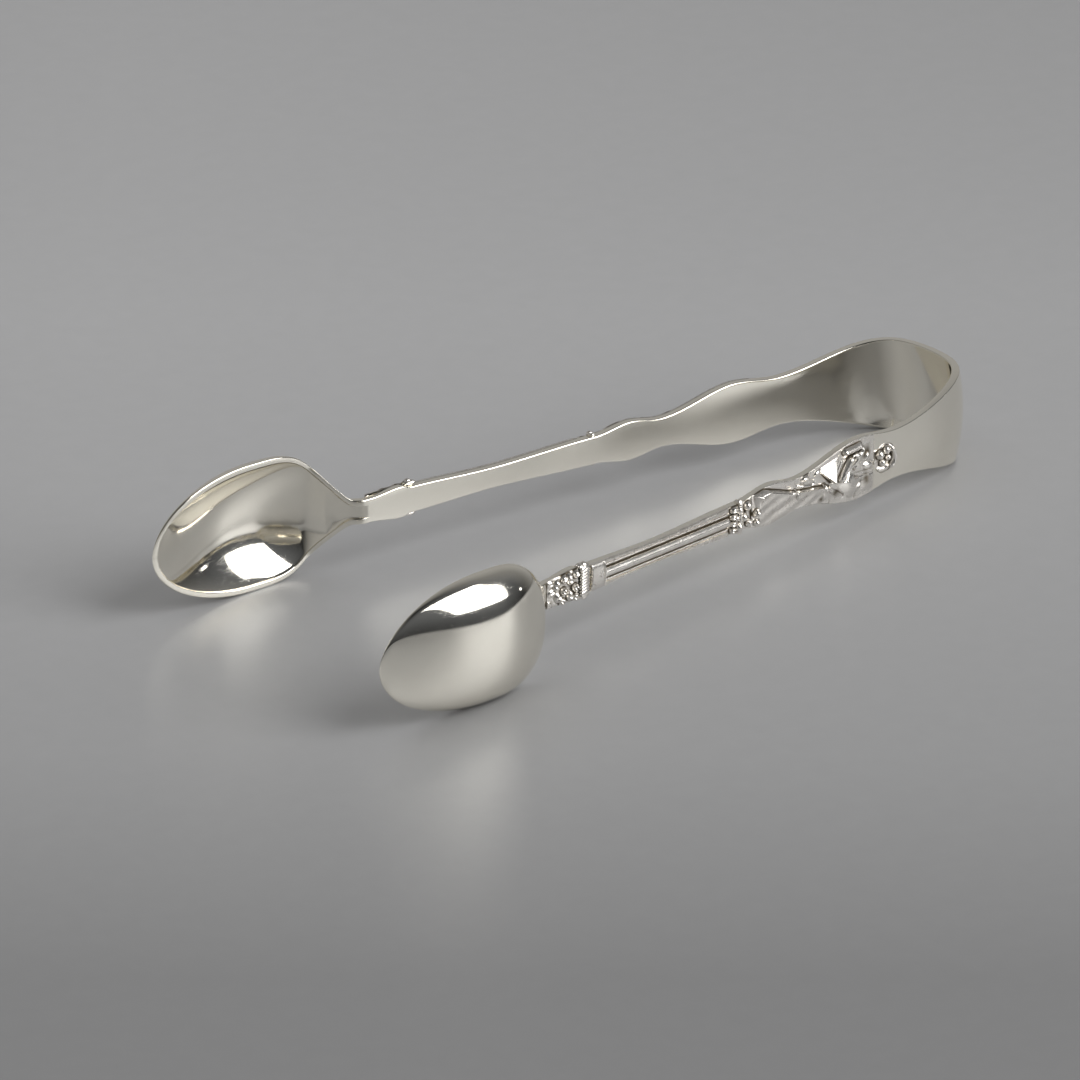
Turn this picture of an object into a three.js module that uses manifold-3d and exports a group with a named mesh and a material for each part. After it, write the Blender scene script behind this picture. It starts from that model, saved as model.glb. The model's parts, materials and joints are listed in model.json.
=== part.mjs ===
// Sugar tongs: a springy silver bow, two ornamented arms and two spoon bowls, lying on edge.
// Millimetres. X runs from the bowl tips to the crown of the bow, Y across the arms, Z is up.
import * as THREE from "three";
import Module from "manifold-3d";

const wasm = await Module();
wasm.setup();

// Whole object
const OVERALL_LENGTH = 146;
const TIP_SPREAD = 56.1; // between the rims at the two bowl tips
const ARM_SPLAY = THREE.MathUtils.degToRad(5.16); // each arm off the centre line
const BOWL_TOE = THREE.MathUtils.degToRad(1.84); // each bowl's rim off the centre line
const SOLDER = 0.06; // seam between two soldered pieces
const PIECE_GAP = 0.25; // between neighbours along an arm

// Spring bow
const STRIP_THICKNESS = 1.4; // also of the arms
const BOW_REACH = 23.5; // crown to the joint with the arms
const BOW_SPREAD = 26.9; // between the inner faces at that joint
const CROWN_WIDTH = 16.4;
const CROWN_FLAT = 12; // run of full width around the crown
const CROWN_DISH = 1.2; // how far the middle of the crown stands out past its edges
const CROWN_FULLNESS = 0.74; // how long the bow runs straight across the crown
const SIDE_FULLNESS = 0.66; // how long it runs straight beside the arms
const WAIST_WIDTH = 8.7; // where the bow meets an arm

// Arm widths, from the bow down
const SWELL_WIDTH = 10.7;
const UPPER_NECK_WIDTH = 5.2;
const LEAF_WIDTH = 6.9;
const COLLAR_SEAT_WIDTH = 4.9;
const SHAFT_WIDTH = 3.7;
const FOOT_WIDTH = 4.6;
const CALYX_WIDTH = 5.5;
const NECK_WIDTH = 4.2;

// Lengths of the ornaments along an arm, from the bow down; the shaft takes what is left
const CREST_LENGTH = 5.2;
const CARTOUCHE_LENGTH = 10.2;
const LEAF_LENGTH = 19.2;
const COLLAR_LENGTH = 5;
const BLOCK_LENGTH = 3.2; // plain block at the foot of the shaft
const RING_LENGTH = 2.4;
const CALYX_LENGTH = 7;
const NECK_LENGTH = 2.4; // bare neck between the calyx and the heel of the bowl
const CRANK_LENGTH = 7.8; // over which the inner face swings out to the rim of the bowl
const DROP_LENGTH = 7.6; // over which the back of the bowl drops to the neck

// Height of the ornaments over the arm
const CREST_RELIEF = 1.5;
const SCROLL_RADIUS = 0.62;
const SHELL_RELIEF = 2.1;
const LEAF_RELIEF = 1.7;
const REED_RADIUS = 0.8;
const THREAD_RADIUS = 0.2;
const CALYX_RELIEF = 1.8;
const PLATE_RELIEF = 0.5; // ground plate under the scrolls
const EDGE_MARGIN = 0.3; // an ornament stays this far inside the arm's edge
const COLLAR_RADIUS = 0.34;
const COLLAR_RELIEF = 1.7;
const RING_RADIUS = 0.36;
const CLASP_DEPTH = 1; // how far collar and ring reach round the arm's edges
const CLASP_EDGE = 0.1; // how far their middle line stands off those edges
const CLASP_CORNER = 0.6; // where they turn from the edge to the face

// Bowls
const BOWL_LENGTH = 37; // tip to heel
const BOWL_WIDTH = 22.3;
const BOWL_DEPTH = 6.1; // outside, below the rim
const BOWL_WALL = 0.9;
const RIM_THICKNESS = 1;
const WIDEST_SHARE = 0.54; // of the length, from the tip
const DEEPEST_SHARE = 0.58;
const TIP_TAPER = 0.54; // 0.5 is half an ellipse, more is a sharper tip
const HEEL_FULLNESS = 4; // more keeps the bowl wide for longer
const HEEL_FILLET = 1.75; // more makes a longer curve from bowl to neck
const DEPTH_FULLNESS = 0.82; // less makes the ends of the bowl steeper
const TIP_ROUNDNESS = 2; // 2 is an ellipse in section, more is squarer
const HEEL_ROUNDNESS = 2.2;
const NECK_ROUNDNESS = 9;
const HOLLOW_FLARE = 1.8; // 1 makes the hollow upright at its rim, more lays it open
const HOLLOW_END = 3; // the hollow runs out this far before the heel

// Places along the arm that follow from the sizes
const xTip = -OVERALL_LENGTH / 2;
const xCrown = OVERALL_LENGTH / 2;
const xJoint = xCrown - BOW_REACH;
const xCrest = xJoint - PIECE_GAP;
const xCartouche = xCrest - CREST_LENGTH - PIECE_GAP;
const xLeaf = xCartouche - CARTOUCHE_LENGTH - PIECE_GAP;
const xCollar = xLeaf - LEAF_LENGTH - PIECE_GAP;
const xReed = xCollar - COLLAR_LENGTH - PIECE_GAP;
const xHeel = xTip + BOWL_LENGTH;
const xCalyxEnd = xHeel + NECK_LENGTH;
const xCalyx = xCalyxEnd + CALYX_LENGTH;
const xNeckJoint = xCalyx + PIECE_GAP / 2;
const xRing = xCalyx + PIECE_GAP + RING_LENGTH / 2;
const xReedEnd = xRing + RING_LENGTH / 2 + PIECE_GAP;
const xWidest = xTip + WIDEST_SHARE * BOWL_LENGTH;
const xCrank = xCalyxEnd - 0.3 * NECK_LENGTH;
const seat = STRIP_THICKNESS + SOLDER; // where an ornament's back lies

// Materials
const plainSilver = { color: 0xcfccc5, roughness: 0.22, metalness: 1 };
const chasedSilver = { color: 0xb9b4a8, roughness: 0.34, metalness: 1 };

// Curves
const mix = THREE.MathUtils.lerp;
const clamp = THREE.MathUtils.clamp;
const smooth = (t) => THREE.MathUtils.smoothstep(t, 0, 1); // also holds 0 and 1 outside that range
const steps = (count) => Array.from({ length: count + 1 }, (_, i) => i / count);

// Half width of the arm's blade at x, swinging smoothly from each station to the next
function bladeHalf(x) {
  const stations = [
    [xJoint, WAIST_WIDTH],
    [xCartouche - 0.36 * CARTOUCHE_LENGTH, SWELL_WIDTH],
    [xLeaf - 0.43 * LEAF_LENGTH, UPPER_NECK_WIDTH],
    [xLeaf - 0.76 * LEAF_LENGTH, LEAF_WIDTH],
    [xCollar - 0.5 * COLLAR_LENGTH, COLLAR_SEAT_WIDTH],
    [mix(xReed, xReedEnd, 0.55), SHAFT_WIDTH],
    [xRing, FOOT_WIDTH],
    [mix(xCalyx, xCalyxEnd, 0.1), CALYX_WIDTH],
    [xCalyxEnd, NECK_WIDTH],
  ];
  const last = stations.length - 1;
  if (x >= stations[0][0]) return stations[0][1] / 2;
  if (x <= stations[last][0]) return stations[last][1] / 2;
  const i = stations.findIndex((station) => station[0] < x) - 1;
  const [fromX, fromWidth] = stations[i];
  const [toX, toWidth] = stations[i + 1];
  return mix(fromWidth, toWidth, smooth((fromX - x) / (fromX - toX))) / 2;
}

// Distances from the centre plane: the arm's inner face, the bowl's rim, and the one running into the other
const armLine = (x) => BOW_SPREAD / 2 + (xJoint - x) * Math.tan(ARM_SPLAY);
const rimLine = (x) => TIP_SPREAD / 2 - (x - xTip) * Math.tan(BOWL_TOE);
const innerLine = (x) => mix(armLine(x), rimLine(x), smooth((xCrank - x) / CRANK_LENGTH));

// Half width of the bowl at x, or of its hollow when inset by the rim, running into the neck
function bowlHalf(x, inset = 0) {
  const widest = BOWL_WIDTH / 2 - inset;
  if (x <= xWidest) {
    const away = (xWidest - x) / (xWidest - xTip - inset);
    return widest * Math.max(1 - away ** 2, 0) ** TIP_TAPER;
  }
  const away = Math.min((x - xWidest) / (xHeel - xWidest), 1);
  return mix(bladeHalf(x) - inset, widest, (1 - away ** HEEL_FULLNESS) ** HEEL_FILLET);
}

// Depth of the bowl along its length as a share: 0 at the tip, 1 at the deepest place, 0 at the heel
function depthShare(x, tipInset = 0, heelInset = 0) {
  const along = clamp((x - xTip - tipInset) / (BOWL_LENGTH - tipInset - heelInset), 0, 1);
  const skew = Math.log(0.5) / Math.log(DEEPEST_SHARE);
  return Math.max(Math.sin(Math.PI * along ** skew), 0) ** DEPTH_FULLNESS;
}

// Outer and hollow depth below the inner face; at the heel the bowl's back drops to the neck
const dropShare = (x) => smooth((x - xCalyxEnd) / DROP_LENGTH + 1);
function bowlDepth(x) {
  const back = rimLine(x) + BOWL_DEPTH * depthShare(x);
  return mix(back, armLine(x) + STRIP_THICKNESS, dropShare(x)) - innerLine(x);
}
function hollowDepth(x) {
  const share = depthShare(x, RIM_THICKNESS, HOLLOW_END);
  const floor = rimLine(x) + (BOWL_DEPTH - BOWL_WALL) * share;
  return Math.max(mix(floor, armLine(x), dropShare(x)) - innerLine(x), 0);
}

// Squareness of the bowl's section at x
function roundnessAt(x) {
  const bowl = mix(TIP_ROUNDNESS, HEEL_ROUNDNESS, clamp((x - xTip) / BOWL_LENGTH, 0, 1));
  return mix(bowl, NECK_ROUNDNESS, smooth((x - xHeel) / NECK_LENGTH + 1));
}

// Geometry from triangles, turned so that it faces outward
function geometryOf(points, triangles) {
  let volume = 0;
  for (const [a, b, c] of triangles) {
    volume += points[a].dot(new THREE.Vector3().crossVectors(points[b], points[c]));
  }
  const facing = volume < 0 ? triangles.map(([a, b, c]) => [a, c, b]) : triangles;
  const geometry = new THREE.BufferGeometry();
  const places = points.flatMap((p) => p.toArray());
  geometry.setAttribute("position", new THREE.Float32BufferAttribute(places, 3));
  geometry.setIndex(facing.flat());
  return geometry;
}

// Points and triangles of a geometry with doubled points joined and flat triangles dropped
function weld(geometry) {
  const position = geometry.getAttribute("position");
  const count = geometry.index ? geometry.index.count : position.count;
  const places = new Map();
  const points = [];
  const corners = [];
  for (let i = 0; i < count; i++) {
    const corner = geometry.index ? geometry.index.getX(i) : i;
    const point = new THREE.Vector3().fromBufferAttribute(position, corner);
    const key = point.toArray().map((value) => Math.round(value * 1e4)).join();
    if (!places.has(key)) {
      places.set(key, points.length);
      points.push(point);
    }
    corners.push(places.get(key));
  }
  const triangles = [];
  for (let i = 0; i < corners.length; i += 3) {
    const [a, b, c] = corners.slice(i, i + 3);
    if (a !== b && b !== c && c !== a) triangles.push([a, b, c]);
  }
  return { points, triangles };
}

// Closed body through rings of points; a ring that has shrunk to a point or an edge gets no cap
function loft(rings, openStart = false) {
  const size = rings[0].length;
  const points = rings.flat();
  const triangles = [];
  for (let i = 0; i + 1 < rings.length; i++) {
    for (let j = 0; j < size; j++) {
      const next = (j + 1) % size;
      const [a, b, c, d] = [i * size + j, i * size + next, (i + 1) * size + next, (i + 1) * size + j];
      triangles.push([a, b, c], [a, c, d]);
    }
  }
  const cap = (ring, start, flip) => {
    const middle = ring.reduce((sum, p) => sum.add(p), new THREE.Vector3()).divideScalar(size);
    points.push(middle);
    for (let j = 0; j < size; j++) {
      const [a, b] = [start + j, start + ((j + 1) % size)];
      triangles.push(flip ? [points.length - 1, b, a] : [points.length - 1, a, b]);
    }
  };
  if (!openStart) cap(rings[0], 0, true);
  cap(rings[rings.length - 1], (rings.length - 1) * size, false);
  const welded = weld(geometryOf(points, triangles));
  return geometryOf(welded.points, welded.triangles);
}

// Round bar along a flat path; the section's radius may change along it and around it
function sweep(path, planeNormal, sides, radius) {
  const rings = path.map((point, i) => {
    const ahead = path[Math.min(i + 1, path.length - 1)];
    const behind = path[Math.max(i - 1, 0)];
    const across = new THREE.Vector3().subVectors(ahead, behind).normalize().cross(planeNormal);
    return steps(sides).slice(0, sides).map((turn) => {
      const angle = turn * 2 * Math.PI;
      const reach = radius(i / (path.length - 1), angle);
      return point
        .clone()
        .addScaledVector(planeNormal, reach * Math.cos(angle))
        .addScaledVector(across, reach * Math.sin(angle));
    });
  });
  return loft(rings);
}

// Joining and cutting
function toSolid(geometry) {
  const { points, triangles } = weld(geometry);
  const vertProperties = new Float32Array(points.flatMap((p) => p.toArray()));
  const triVerts = new Uint32Array(triangles.flat());
  return new wasm.Manifold(new wasm.Mesh({ numProp: 3, vertProperties, triVerts }));
}
function toGeometry(solid) {
  const mesh = solid.getMesh();
  const geometry = new THREE.BufferGeometry();
  geometry.setAttribute("position", new THREE.Float32BufferAttribute(mesh.vertProperties, mesh.numProp));
  geometry.setIndex([...mesh.triVerts]);
  return geometry;
}
const join = (geometries) => geometries.map(toSolid).reduce((whole, piece) => whole.add(piece));

// Bead, bud or petal: a ball stretched along and across, its long side turned in the face of the arm
function bead(x, z, length, width, height, turn = 0) {
  const geometry = new THREE.SphereGeometry(1, 8, 5);
  geometry.scale(length / 2, height, width / 2);
  geometry.rotateY(-turn);
  geometry.translate(x, seat, z);
  return geometry;
}

// Block of space between two corners, for cutting
function space(low, high) {
  const size = new THREE.Vector3().subVectors(high, low);
  const geometry = new THREE.BoxGeometry(size.x, size.y, size.z);
  const middle = new THREE.Vector3().addVectors(low, high).multiplyScalar(0.5);
  geometry.translate(middle.x, middle.y, middle.z);
  return toSolid(geometry);
}
const wide = BOWL_WIDTH;
const underSeat = space(new THREE.Vector3(xTip, -wide, -wide), new THREE.Vector3(xCrown, seat, wide));

// The arm's pieces are shaped flat: x along the arm, y outward from its inner face, z across

function makeBlade() {
  const from = xNeckJoint + SOLDER / 2;
  const to = xJoint - SOLDER / 2;
  const edge = STRIP_THICKNESS * 0.18; // eased corners
  const rings = steps(36).map((t) => {
    const x = mix(from, to, t);
    const half = bladeHalf(x);
    const lower = [
      [0, -half + edge],
      [edge, -half],
      [STRIP_THICKNESS - edge, -half],
      [STRIP_THICKNESS, -half + edge],
    ];
    const upper = lower.map(([y, z]) => [y, -z]).reverse();
    return [...lower, ...upper].map(([y, z]) => new THREE.Vector3(x, y, z));
  });
  return loft(rings);
}

// Points across the bowl from edge to edge, on a rounded section that may flare at the edges
function bowlArc(count, x, half, depth, flare = 1) {
  return steps(count).map((t) => {
    const angle = (t - 0.5) * Math.PI;
    const power = 2 / roundnessAt(x);
    const across = Math.sign(Math.sin(angle)) * Math.abs(Math.sin(angle)) ** power;
    const down = Math.max(Math.cos(angle), 0) ** (power * flare);
    return new THREE.Vector3(x, depth * down, half * across);
  });
}

// Bowl and neck in one: an outer and an inner skin joined along the rim
function makeBowl() {
  const reach = xNeckJoint - SOLDER / 2 - xTip;
  const heelStart = 0.8 * BOWL_LENGTH;
  const heelEnd = xCalyxEnd - xTip;
  const rows = [
    ...steps(12).map((t) => heelStart * (1 - Math.cos((t * Math.PI) / 2))),
    ...steps(10).slice(1).map((t) => mix(heelStart, heelEnd, t)),
    ...steps(5).slice(1).map((t) => mix(heelEnd, reach, t)),
  ];
  const rings = rows.map((along) => {
    const x = xTip + along;
    const inner = xTip + RIM_THICKNESS + (along * (reach - RIM_THICKNESS)) / reach;
    const outside = bowlArc(12, x, bowlHalf(x), bowlDepth(x));
    const innerHalf = bowlHalf(inner, RIM_THICKNESS);
    const inside = bowlArc(8, inner, innerHalf, hollowDepth(inner), HOLLOW_FLARE);
    return [...outside, ...inside.reverse()];
  });
  return loft(rings, true);
}

// Flower of six petals round a boss
function makeCrest() {
  const radius = CREST_LENGTH / 2;
  const middle = xCrest - radius;
  const petals = steps(6).slice(1).map((turn) => {
    const angle = turn * 2 * Math.PI;
    const [x, z] = [middle + 0.58 * radius * Math.cos(angle), 0.58 * radius * Math.sin(angle)];
    return bead(x, z, 0.84 * radius, 0.64 * radius, 0.66 * CREST_RELIEF, angle);
  });
  const boss = bead(middle, 0, 0.7 * radius, 0.7 * radius, CREST_RELIEF);
  const ground = bead(middle, 0, 1.7 * radius, 1.7 * radius, 0.4 * CREST_RELIEF);
  return toGeometry(join([ground, boss, ...petals]).subtract(underSeat));
}

// Two scrolls with volutes either side of a ribbed shell, with leaves below, on a ground plate
function makeCartouche() {
  const end = xCartouche - CARTOUCHE_LENGTH;
  const plate = loft(
    steps(10).map((t) => {
      const x = mix(end, xCartouche, t);
      const half = (bladeHalf(x) - EDGE_MARGIN) * (1 - 0.35 * t ** 6);
      const [low, high] = [seat - PLATE_RELIEF, seat + PLATE_RELIEF];
      const corners = [[low, -half], [high, -half], [high, half], [low, half]];
      return corners.map(([y, z]) => new THREE.Vector3(x, y, z));
    }),
  );
  const eye = { x: xCartouche - 0.42 * CARTOUCHE_LENGTH, z: 0.26 * SWELL_WIDTH };
  const outer = SWELL_WIDTH / 2 - EDGE_MARGIN - SCROLL_RADIUS - eye.z;
  const scrolls = [1, -1].map((side) => {
    const spiral = steps(18).map((t) => {
      const angle = Math.PI * (1 - 2.5 * t);
      const radius = outer * (1 - 0.7 * t);
      return new THREE.Vector3(
        eye.x + radius * Math.cos(angle),
        seat + SCROLL_RADIUS,
        side * (eye.z + radius * Math.sin(angle)),
      );
    });
    const tail = new THREE.Vector3(end, seat, side * SCROLL_RADIUS);
    tail.add(new THREE.Vector3(SCROLL_RADIUS, 0.6 * SCROLL_RADIUS, side * 0.4 * SCROLL_RADIUS));
    const bend = new THREE.Vector3(mix(end, eye.x - outer, 0.7), seat + SCROLL_RADIUS, side * 0.7 * eye.z);
    const path = new THREE.CatmullRomCurve3([tail, bend, ...spiral]).getPoints(26);
    return sweep(path, new THREE.Vector3(0, 1, 0), 6, (t) => SCROLL_RADIUS * (1 - 0.35 * t));
  });
  const root = end + 0.26 * CARTOUCHE_LENGTH;
  const leafLength = 0.4 * CARTOUCHE_LENGTH;
  const leafWidth = 0.2 * SWELL_WIDTH;
  const paired = [1, -1].flatMap((side) => [
    bead(eye.x, side * eye.z, 2.4 * SCROLL_RADIUS, 2.4 * SCROLL_RADIUS, 2.8 * SCROLL_RADIUS),
    bead(root, side * eye.z, leafLength, leafWidth, 0.8 * SHELL_RELIEF, side * 0.5),
  ]);
  const husk = bead(end + leafLength / 2, 0, leafLength, leafWidth, 0.9 * SHELL_RELIEF);
  const ribs = [-2, -1, 0, 1, 2].map((place) => {
    const angle = place * 0.17;
    const length = CARTOUCHE_LENGTH * (0.72 - 0.05 * Math.abs(place));
    const [x, z] = [root + (length / 2) * Math.cos(angle), (length / 2) * Math.sin(angle)];
    return bead(x, z, length, 0.12 * SWELL_WIDTH, SHELL_RELIEF * (1 - 0.14 * Math.abs(place)), angle);
  });
  return toGeometry(join([plate, ...scrolls, ...paired, husk, ...ribs]).subtract(underSeat));
}

// Long leaf in three tiers that overlap like tiles, with scalloped edges and a raised midrib
function makeAcanthus() {
  const tiers = 3;
  const rings = steps(30).map((t) => {
    const x = mix(xLeaf, xLeaf - LEAF_LENGTH, t);
    const rise = t === 1 ? 1 : (t * tiers) % 1;
    const taper = mix(0.55, 1, smooth(6 * t)) * mix(0.6, 1, smooth(12 * (1 - t)));
    const scallop = mix(0.78, 1, Math.sin(Math.PI * mix(0.15, 0.9, rise)));
    const half = (bladeHalf(x) - EDGE_MARGIN) * taper * scallop;
    const height = LEAF_RELIEF * taper * mix(0.55, 1, rise);
    const back = [-1, 1].map((side) => new THREE.Vector3(x, seat, side * half));
    const front = steps(8).map((u) => {
      const across = 1 - 2 * u;
      const flute = 0.1 * Math.cos(4 * Math.PI * across);
      const swell = 0.3 + 0.6 * (1 - Math.abs(across) ** 1.5) + flute;
      return new THREE.Vector3(x, seat + height * swell, half * across * 0.98);
    });
    return [...back, ...front];
  });
  return loft(rings);
}

// Widest half of the arm over a stretch to both sides of x
const widestHalf = (x, spread) => Math.max(bladeHalf(x - spread), bladeHalf(x), bladeHalf(x + spread));

// Path round the front of the arm at x, close to its edges and clear of its face by the given reach
function claspPath(x, spread, reach) {
  const half = widestHalf(x, spread);
  const corner = steps(5).map((t) => {
    const angle = (t * Math.PI) / 2;
    const inward = CLASP_CORNER - (CLASP_CORNER + CLASP_EDGE) * Math.cos(angle);
    return [STRIP_THICKNESS + reach * Math.sin(angle), half - inward];
  });
  const end = [STRIP_THICKNESS - CLASP_DEPTH, half + CLASP_EDGE];
  const face = [STRIP_THICKNESS + reach, half / 3];
  const upper = [end, ...corner, face];
  const lower = upper.map(([y, z]) => [y, -z]).reverse();
  return [...upper, ...lower].map(([y, z]) => new THREE.Vector3(x, y, z));
}

// Room that a clasping piece leaves for the arm
function armRoom(x, spread) {
  const half = widestHalf(x, spread) + SOLDER;
  const low = new THREE.Vector3(x - 2 * spread, -wide, -half);
  const high = new THREE.Vector3(x + 2 * spread, seat, half);
  return space(low, high);
}

// Collar with three florets on its front and a knop at each edge of the arm
function makeUpperCollar() {
  const middle = xCollar - COLLAR_LENGTH / 2;
  const path = claspPath(middle, COLLAR_RADIUS, COLLAR_RADIUS + SOLDER);
  const band = sweep(path, new THREE.Vector3(1, 0, 0), 6, () => COLLAR_RADIUS);
  const spacing = COLLAR_SEAT_WIDTH / 3;
  const florets = [-1, 0, 1].map((place) => {
    const length = COLLAR_LENGTH * (place ? 0.62 : 1);
    return bead(middle, place * spacing, length, spacing * 1.25, COLLAR_RELIEF * (place ? 0.8 : 1));
  });
  const leaves = [-1, 1].flatMap((end) => [-1, 1].map((side) => {
    const [x, z] = [middle + end * 0.3 * COLLAR_LENGTH, side * 0.6 * spacing];
    return bead(x, z, 0.44 * COLLAR_LENGTH, spacing, 0.7 * COLLAR_RELIEF, end * side * 0.6);
  }));
  const knops = [path[1], path[path.length - 2]].map((place) => {
    const knop = new THREE.SphereGeometry(1.3 * COLLAR_RADIUS, 8, 5);
    knop.translate(place.x, place.y, place.z);
    return knop;
  });
  const room = armRoom(middle, COLLAR_LENGTH / 2);
  return toGeometry(join([band, ...florets, ...leaves, ...knops]).subtract(room));
}

// Ring twisted like a rope round the foot of the shaft
function makeRopeRing() {
  const path = new THREE.CatmullRomCurve3(claspPath(xRing, RING_LENGTH / 2, RING_RADIUS + SOLDER));
  const strands = 3;
  const turns = 5;
  const twisted = (t, angle) => RING_RADIUS * (0.86 + 0.14 * Math.cos(strands * (angle - turns * t * 2)));
  const rope = sweep(path.getPoints(28), new THREE.Vector3(1, 0, 0), 8, twisted);
  rope.translate(-xRing, 0, 0);
  rope.scale(RING_LENGTH / (2 * RING_RADIUS), 1, 1);
  rope.translate(xRing, 0, 0);
  return toGeometry(toSolid(rope).subtract(armRoom(xRing, RING_LENGTH / 2)));
}

// Half-round reed between two threads, ending in a plain block
function makeShaftReed() {
  const half = SHAFT_WIDTH / 2 - EDGE_MARGIN / 2;
  const floor = seat + THREAD_RADIUS / 2;
  const thread = half - THREAD_RADIUS;
  const profile = new THREE.Shape();
  profile.moveTo(-half, seat);
  profile.lineTo(half, seat);
  profile.lineTo(half, floor);
  profile.absarc(thread, floor, THREAD_RADIUS, 0, Math.PI, false);
  profile.lineTo(REED_RADIUS, floor);
  profile.absarc(0, floor, REED_RADIUS, 0, Math.PI, false);
  profile.lineTo(-thread + THREAD_RADIUS, floor);
  profile.absarc(-thread, floor, THREAD_RADIUS, 0, Math.PI, false);
  profile.closePath();
  const xBlock = xReedEnd + BLOCK_LENGTH;
  const overlap = BLOCK_LENGTH / 8;
  const reed = new THREE.ExtrudeGeometry(profile, {
    depth: xReed - xBlock + overlap,
    steps: 1,
    bevelEnabled: false,
    curveSegments: 8,
  });
  reed.rotateY(Math.PI / 2);
  reed.translate(xBlock - overlap, 0, 0);
  const block = loft(
    steps(4).map((t) => {
      const x = mix(xReedEnd, xBlock, t);
      const side = bladeHalf(x) - EDGE_MARGIN / 2;
      const height = REED_RADIUS * 0.8;
      const back = [-side, side].map((z) => new THREE.Vector3(x, seat, z));
      const front = steps(8).map((u) => {
        const angle = Math.PI * (u - 0.5);
        const lift = 0.3 + 0.7 * Math.cos(angle);
        return new THREE.Vector3(x, seat + height * lift, -side * Math.sin(angle));
      });
      return [...back, ...front];
    }),
  );
  return toGeometry(join([reed, block]));
}

// Tapering cluster of buds over the joint of arm and bowl
function makeCalyx() {
  const rows = 4;
  const half = (t) => mix(CALYX_WIDTH / 2, NECK_WIDTH / 2 + EDGE_MARGIN, t);
  const height = (t) => CALYX_RELIEF * mix(1, 0.85, t);
  const groundHalf = (t) => half(t) - EDGE_MARGIN;
  const ground = loft(
    steps(6).map((t) => {
      const x = mix(xCalyx, xCalyxEnd, t);
      const back = [-1, 1].map((side) => new THREE.Vector3(x, seat, side * groundHalf(t)));
      const front = steps(6).map((u) => {
        const angle = Math.PI * (u - 0.5);
        const lift = mix(0.15, 0.55, Math.cos(angle));
        return new THREE.Vector3(x, seat + height(t) * lift, -groundHalf(t) * Math.sin(angle));
      });
      return [...back, ...front];
    }),
  );
  const budLength = (1.15 * CALYX_LENGTH) / rows;
  const buds = steps(rows - 1).flatMap((step, row) => {
    const t = mix(0.15, 0.87, step);
    const across = row % 2 ? 2 : 3;
    const width = (2 * half(t)) / across;
    return steps(across - 1).map((u) => {
      const z = (u - 0.5) * (2 * half(t) - width);
      const share = across === 2 ? 0.9 : mix(1, 0.55, 2 * Math.abs(u - 0.5));
      return bead(mix(xCalyx, xCalyxEnd, t), z, budLength, width, height(t) * share);
    });
  });
  return toGeometry(join([ground, ...buds]).subtract(underSeat));
}

// The bow, shaped in place: from the left arm round the crown to the right arm
function makeBow(floorSlope) {
  const half = STRIP_THICKNESS / 2;
  const crown = new THREE.Vector2(xCrown - CROWN_DISH - half, 0);
  const joint = new THREE.Vector2(xJoint + SOLDER / 2, innerLine(xJoint) + half);
  const along = new THREE.Vector2(Math.cos(ARM_SPLAY), -Math.sin(ARM_SPLAY));
  const side = new THREE.CubicBezierCurve(
    crown,
    new THREE.Vector2(crown.x, CROWN_FULLNESS * joint.y),
    joint.clone().addScaledVector(along, SIDE_FULLNESS * BOW_REACH),
    joint,
  );
  const length = side.getLength();
  const halfRing = steps(22).map((t) => {
    const point = side.getPointAt(t);
    const tangent = side.getTangentAt(t);
    const normal = t === 1 ? new THREE.Vector2(0, 1) : new THREE.Vector2(tangent.y, -tangent.x);
    const taper = smooth((t * length - CROWN_FLAT / 2) / (length - CROWN_FLAT / 2));
    const width = mix(CROWN_WIDTH, WAIST_WIDTH, taper) / 2;
    const dish = CROWN_DISH * (1 - smooth(t));
    const place = (across, out) => {
      const reach = out + dish * (1 - across * across);
      const [x, y] = [point.x + normal.x * reach, point.y + normal.y * reach];
      const onFloor = taper === 0 && across === -1;
      const z = onFloor ? -width - floorSlope * (xCrownEdge - x) : width * across;
      return new THREE.Vector3(x, y, z);
    };
    const across = steps(6).map((u) => 2 * u - 1);
    return [...across.map((v) => place(v, half)), ...across.reverse().map((v) => place(v, -half))];
  });
  const mirrored = halfRing.slice(1).map((ring) => ring.map((p) => new THREE.Vector3(p.x, -p.y, p.z)));
  return loft([...halfRing.reverse(), ...mirrored]);
}

// The bowls are wider than the crown, so the tongs lie with the bowls' end a little higher
const xCrownEdge = xCrown - CROWN_DISH;
const floorSlope = steps(400)
  .map((t) => mix(xTip, xHeel, t))
  .map((x) => (bowlHalf(x) - CROWN_WIDTH / 2) / (xCrownEdge - x))
  .reduce((most, slope) => Math.max(most, slope));

// Bends a flat piece to the arm on one side of the centre plane
function toArm(geometry, side) {
  const { points, triangles } = weld(geometry);
  const placed = points.map((p) => new THREE.Vector3(p.x, side * (innerLine(p.x) + p.y), p.z));
  return geometryOf(placed, triangles);
}

const tongs = new THREE.Group();
tongs.name = "sugar_tongs";
function addPiece(name, geometry, finish) {
  const piece = new THREE.Mesh(geometry, new THREE.MeshStandardMaterial(finish));
  piece.name = name;
  tongs.add(piece);
}

addPiece("spring_bow", makeBow(floorSlope), plainSilver);
const armPieces = [
  ["blade", makeBlade(), plainSilver],
  ["bowl", makeBowl(), plainSilver],
  ["crest", makeCrest(), chasedSilver],
  ["cartouche", makeCartouche(), chasedSilver],
  ["acanthus", makeAcanthus(), chasedSilver],
  ["upper_collar", makeUpperCollar(), chasedSilver],
  ["shaft_reed", makeShaftReed(), chasedSilver],
  ["rope_ring", makeRopeRing(), chasedSilver],
  ["calyx", makeCalyx(), chasedSilver],
];
for (const [name, geometry, finish] of armPieces) {
  addPiece(`left_${name}`, toArm(geometry, 1), finish);
  addPiece(`right_${name}`, toArm(geometry, -1), finish);
}

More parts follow.
